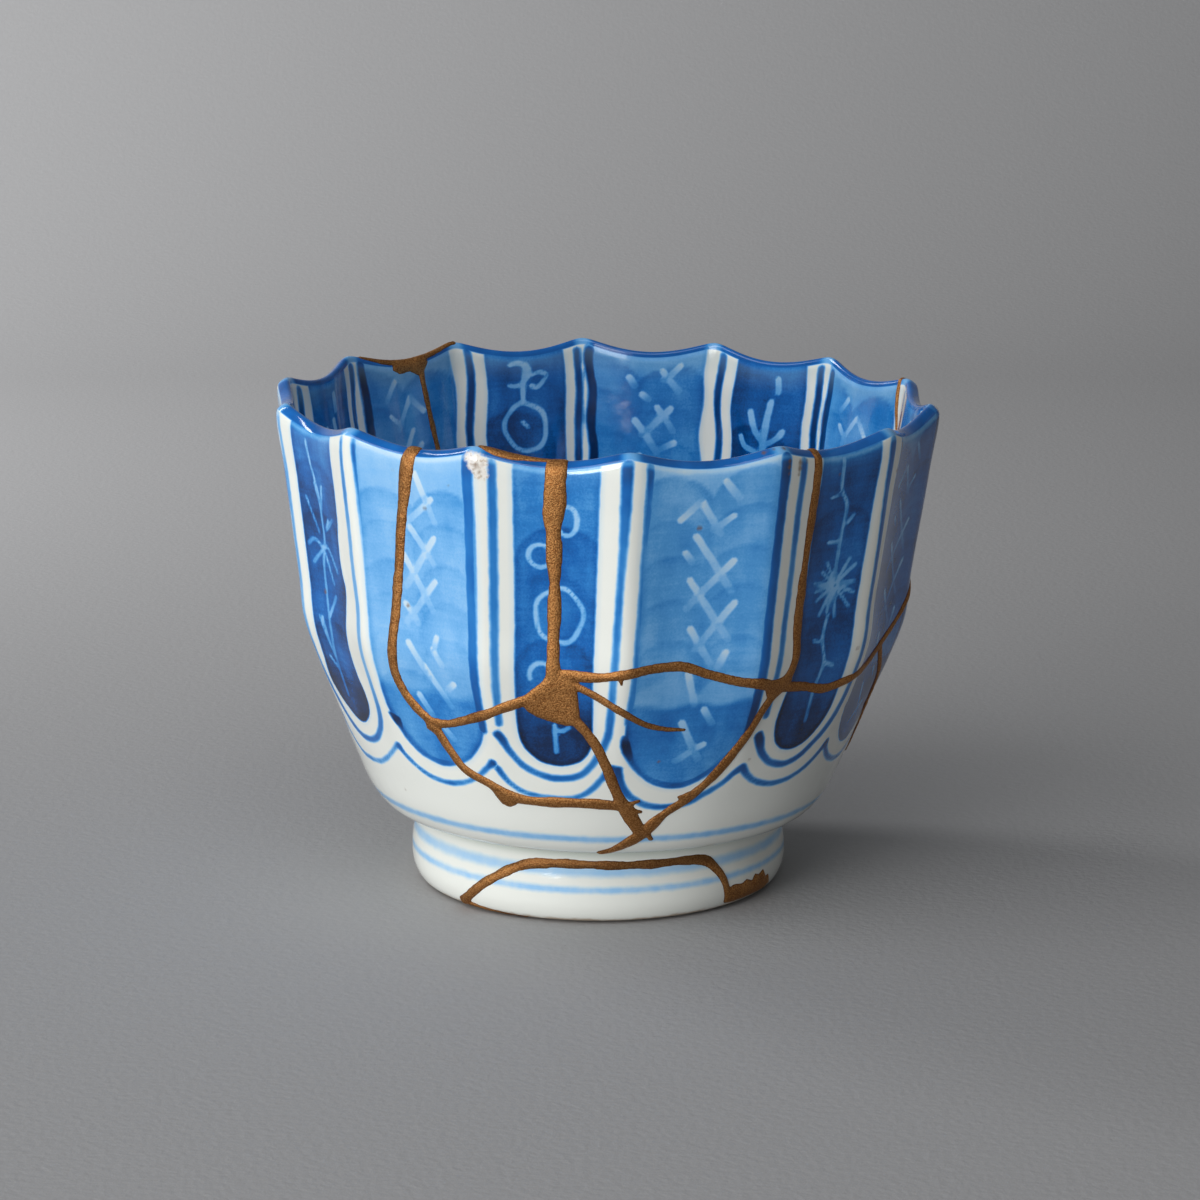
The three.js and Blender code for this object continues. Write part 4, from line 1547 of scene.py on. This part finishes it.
    foot_seam: Points = (
        (-46, 0.8, 1.2), (-40, 2.6, 0.9), (-33.3, 4.4, 0.9), (-23.6, 6.3, 1), (-15, 6.9, 0.9),
        (-6.6, 7, 0.85), (6, 6.9, 0.75), (18.7, 6.9, 0.85), (28, 6.9, 0.9), (35, 6.4, 1), (38.4, 5.2, 0.85),
        (40.8, 3.8, 0.8), (43.2, 1.2, 0.9),
    )
    foot_sliver: Points = ((-46, 0.8, 0.9), (-40, 0.55, 0.5), (-31, 0.35, 0.32), (-23, 0.25, 0.15))
    foot_chip: Points = ((44, 0.75), (53, 0.75), (62.4, 0.8), (66, 1.2), (63.6, 2.3), (62, 2.2), (60, 3.3),
                         (57.4, 2.9), (55.5, 3.2), (53.8, 2.5), (51, 2.9), (48.8, 2.6), (45, 2.8),
                         (41.8, 2.5), (42, 1.1))

    rim_chip: Points = ((-20.6, -0.3, 0.8), (-18.8, -0.2, 1.5), (-16, -0.2, 1.7), (-12.5, -0.3, 1.3),
                        (-8, -0.4, 0.9))
    back_rim: Points = ((-127, -0.1, 0.45), (-133, -0.1, 0.9), (-142, -0.1, 0.9), (-150, -0.1, 0.45))
    back_chip: Points = ((-138, -0.3), (-134.2, -0.5), (-134, -1.3), (-135.4, -1.7), (-138, -1.5),
                         (-140, -2.2), (-141.6, -1.9), (-142.7, -1), (-142, -0.4))
    back_seam: Points = ((-139.9, 0, 1), (-140.8, 1.8, 0.95), (-141.3, 3.7, 0.8), (-143.4, 12, 0.8),
                         (-146, 20, 0.6), (-149, 28, 0.3))

    def outside(self, points: Points) -> Points:
        """Turns heights into distances from the crest."""
        return tuple((row[0], float(self.form.outside(row[1])), *row[2:]) for row in points)

    def through(self, points: Points) -> Points:
        """The same seam on the inside of the wall, a little narrower."""
        return tuple((row[0], -row[1], *(width * self.inside_width for width in row[2:])) for row in points)

    def over_rim(self, points: Points) -> Points:
        """A seam that starts on the inside, runs over the rim and down the outside."""
        return (*reversed(self.through(points[1:])), *points)

    def build(self, material: bpy.types.Material) -> list[bpy.types.Object]:
        """Builds the three networks.

        Args:
            material: Their finish.

        Returns:
            The pieces.
        """
        walls = [self.outside(seam) for seam in self.wall_seams]
        hub = self.outside(self.hub)
        front = SeamNetwork(
            "gold_seam_front",
            self.form,
            (
                *(self.over_rim(self.outside(seam)) for seam in self.rim_seams),
                *walls,
                *(self.through(seam) for seam in walls),
                *(self.outside(seam) for seam in self.hairlines + self.spurs),
                self.rim_chip,
            ),
            (
                hub, self.through(hub), self.outside(self.knot), self.outside(self.left_lump),
                self.outside(self.bottom_lobe), self.outside(self.wart),
            ),
        )
        over_back = (self.over_rim(self.back_seam), self.back_rim)
        back = SeamNetwork("gold_seam_back", self.form, over_back, (self.back_chip,))
        on_foot = (self.outside(self.foot_seam), self.outside(self.foot_sliver))
        foot = SeamNetwork("gold_seam_foot", self.form, on_foot, (self.outside(self.foot_chip),))
        return [network.build(material) for network in (front, back, foot)]


@dataclass(frozen=True)
class Studio:
    """The floor that sweeps up behind the cup, the soft lights and the camera."""

    floor_front: float = -420
    floor_back: float = 330
    sweep_radius: float = 260
    backdrop_top: float = 900
    half_width: float = 900

    target: tuple[float, float, float] = (-0.53, 0, 31.84)
    distance: float = 442.2
    elevation: float = 13.15
    lens: float = 117.1
    sensor: float = 36
    world_light: float = 0.17

    def build(self, paper: bpy.types.Material) -> None:
        """Sets up the whole studio.

        Args:
            paper: The finish of the floor.
        """
        self.lay_floor(paper)
        self.soft_light("low_left", (-330, -420, 52), (0, 0, 20), (300, 100), 1.35)
        self.soft_light("middle_left", (-330, -420, 235), (0, 0, 30), (300, 150), 0.75)
        self.soft_light("high_left", (-350, -200, 400), (0, 0, 35), (300, 300), 0.75)
        self.soft_light("high_front", (0, -300, 450), (0, 0, 30), (300, 300), 0.5)
        self.soft_light("backdrop_left", (-330, 200, 260), (-130, 480, 120), (240, 240), 1.75)
        self.set_world()
        self.set_camera()

    def lay_floor(self, paper: bpy.types.Material) -> None:
        """Lays the floor and its sweep.

        Args:
            paper: The finish of the floor.
        """
        turns = np.radians(np.linspace(0, 90, 25))
        radius = self.sweep_radius
        curve = [(self.floor_front, 0.0)]
        curve += [(self.floor_back + radius * math.sin(t), radius * (1 - math.cos(t))) for t in turns]
        curve.append((self.floor_back + radius, self.backdrop_top))
        places = [(x, y, z) for y, z in curve for x in (-self.half_width, self.half_width)]
        faces = [(2 * i, 2 * i + 1, 2 * i + 3, 2 * i + 2) for i in range(len(curve) - 1)]
        mesh = bpy.data.meshes.new("floor")
        mesh.from_pydata(np.array(places) * MM, [], faces)
        mesh.shade_smooth()
        mesh.materials.append(paper)
        floor = bpy.data.objects.new("floor", mesh)
        bpy.context.scene.collection.objects.link(floor)
        log.info("floor: %d points", len(places))

    def soft_light(
        self, name: str, place: Iterable[float], aim: Iterable[float], size: tuple[float, float], watts: float
    ) -> None:
        """Hangs a soft box.

        Args:
            name: Its name.
            place: Where it hangs, in mm.
            aim: The place that it faces, in mm.
            size: Its width and height, in mm.
            watts: Its power.
        """
        lamp = bpy.data.lights.new(name, "AREA")
        lamp.shape = "RECTANGLE"
        lamp.size, lamp.size_y = size[0] * MM, size[1] * MM
        lamp.energy = watts
        box = bpy.data.objects.new(name, lamp)
        box.location = Vector(place) * MM
        box.rotation_euler = (Vector(aim) - Vector(place)).to_track_quat("-Z", "Y").to_euler()
        bpy.context.scene.collection.objects.link(box)

    def set_world(self) -> None:
        """Gives the room its even light."""
        world = bpy.data.worlds.new("room")
        world.use_nodes = True
        backdrop = world.node_tree.nodes["Background"]
        backdrop.inputs["Color"].default_value = (0.97, 0.98, 1, 1)
        backdrop.inputs["Strength"].default_value = self.world_light
        bpy.context.scene.world = world
        bpy.context.scene.view_settings.view_transform = "Standard"

    def set_camera(self) -> None:
        """Sets the camera at the photograph's angle."""
        tilt = math.radians(self.elevation)
        away = Vector((0, -math.cos(tilt), math.sin(tilt)))
        lens = bpy.data.cameras.new("camera")
        lens.lens = self.lens
        lens.sensor_width = self.sensor
        lens.clip_start, lens.clip_end = 0.01, 10
        camera = bpy.data.objects.new("camera", lens)
        camera.location = (Vector(self.target) + away * self.distance) * MM
        camera.rotation_euler = (-away).to_track_quat("-Z", "Y").to_euler()
        bpy.context.scene.collection.objects.link(camera)
        bpy.context.scene.camera = camera


def main() -> None:
    """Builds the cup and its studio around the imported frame."""
    logging.basicConfig(level=logging.INFO, format="%(name)s: %(message)s")
    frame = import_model()
    log.info("frame with %s", ", ".join(sorted(frame["nodes"])))
    form = FlutedForm()
    PorcelainCup(form, PaintedDesign(form)).build(BluePaintedGlaze().material())
    Lacquer(form).build(BronzedGoldLacquer().material())
    Studio().build(StudioPaper().material())


if __name__ == "__main__":
    main()
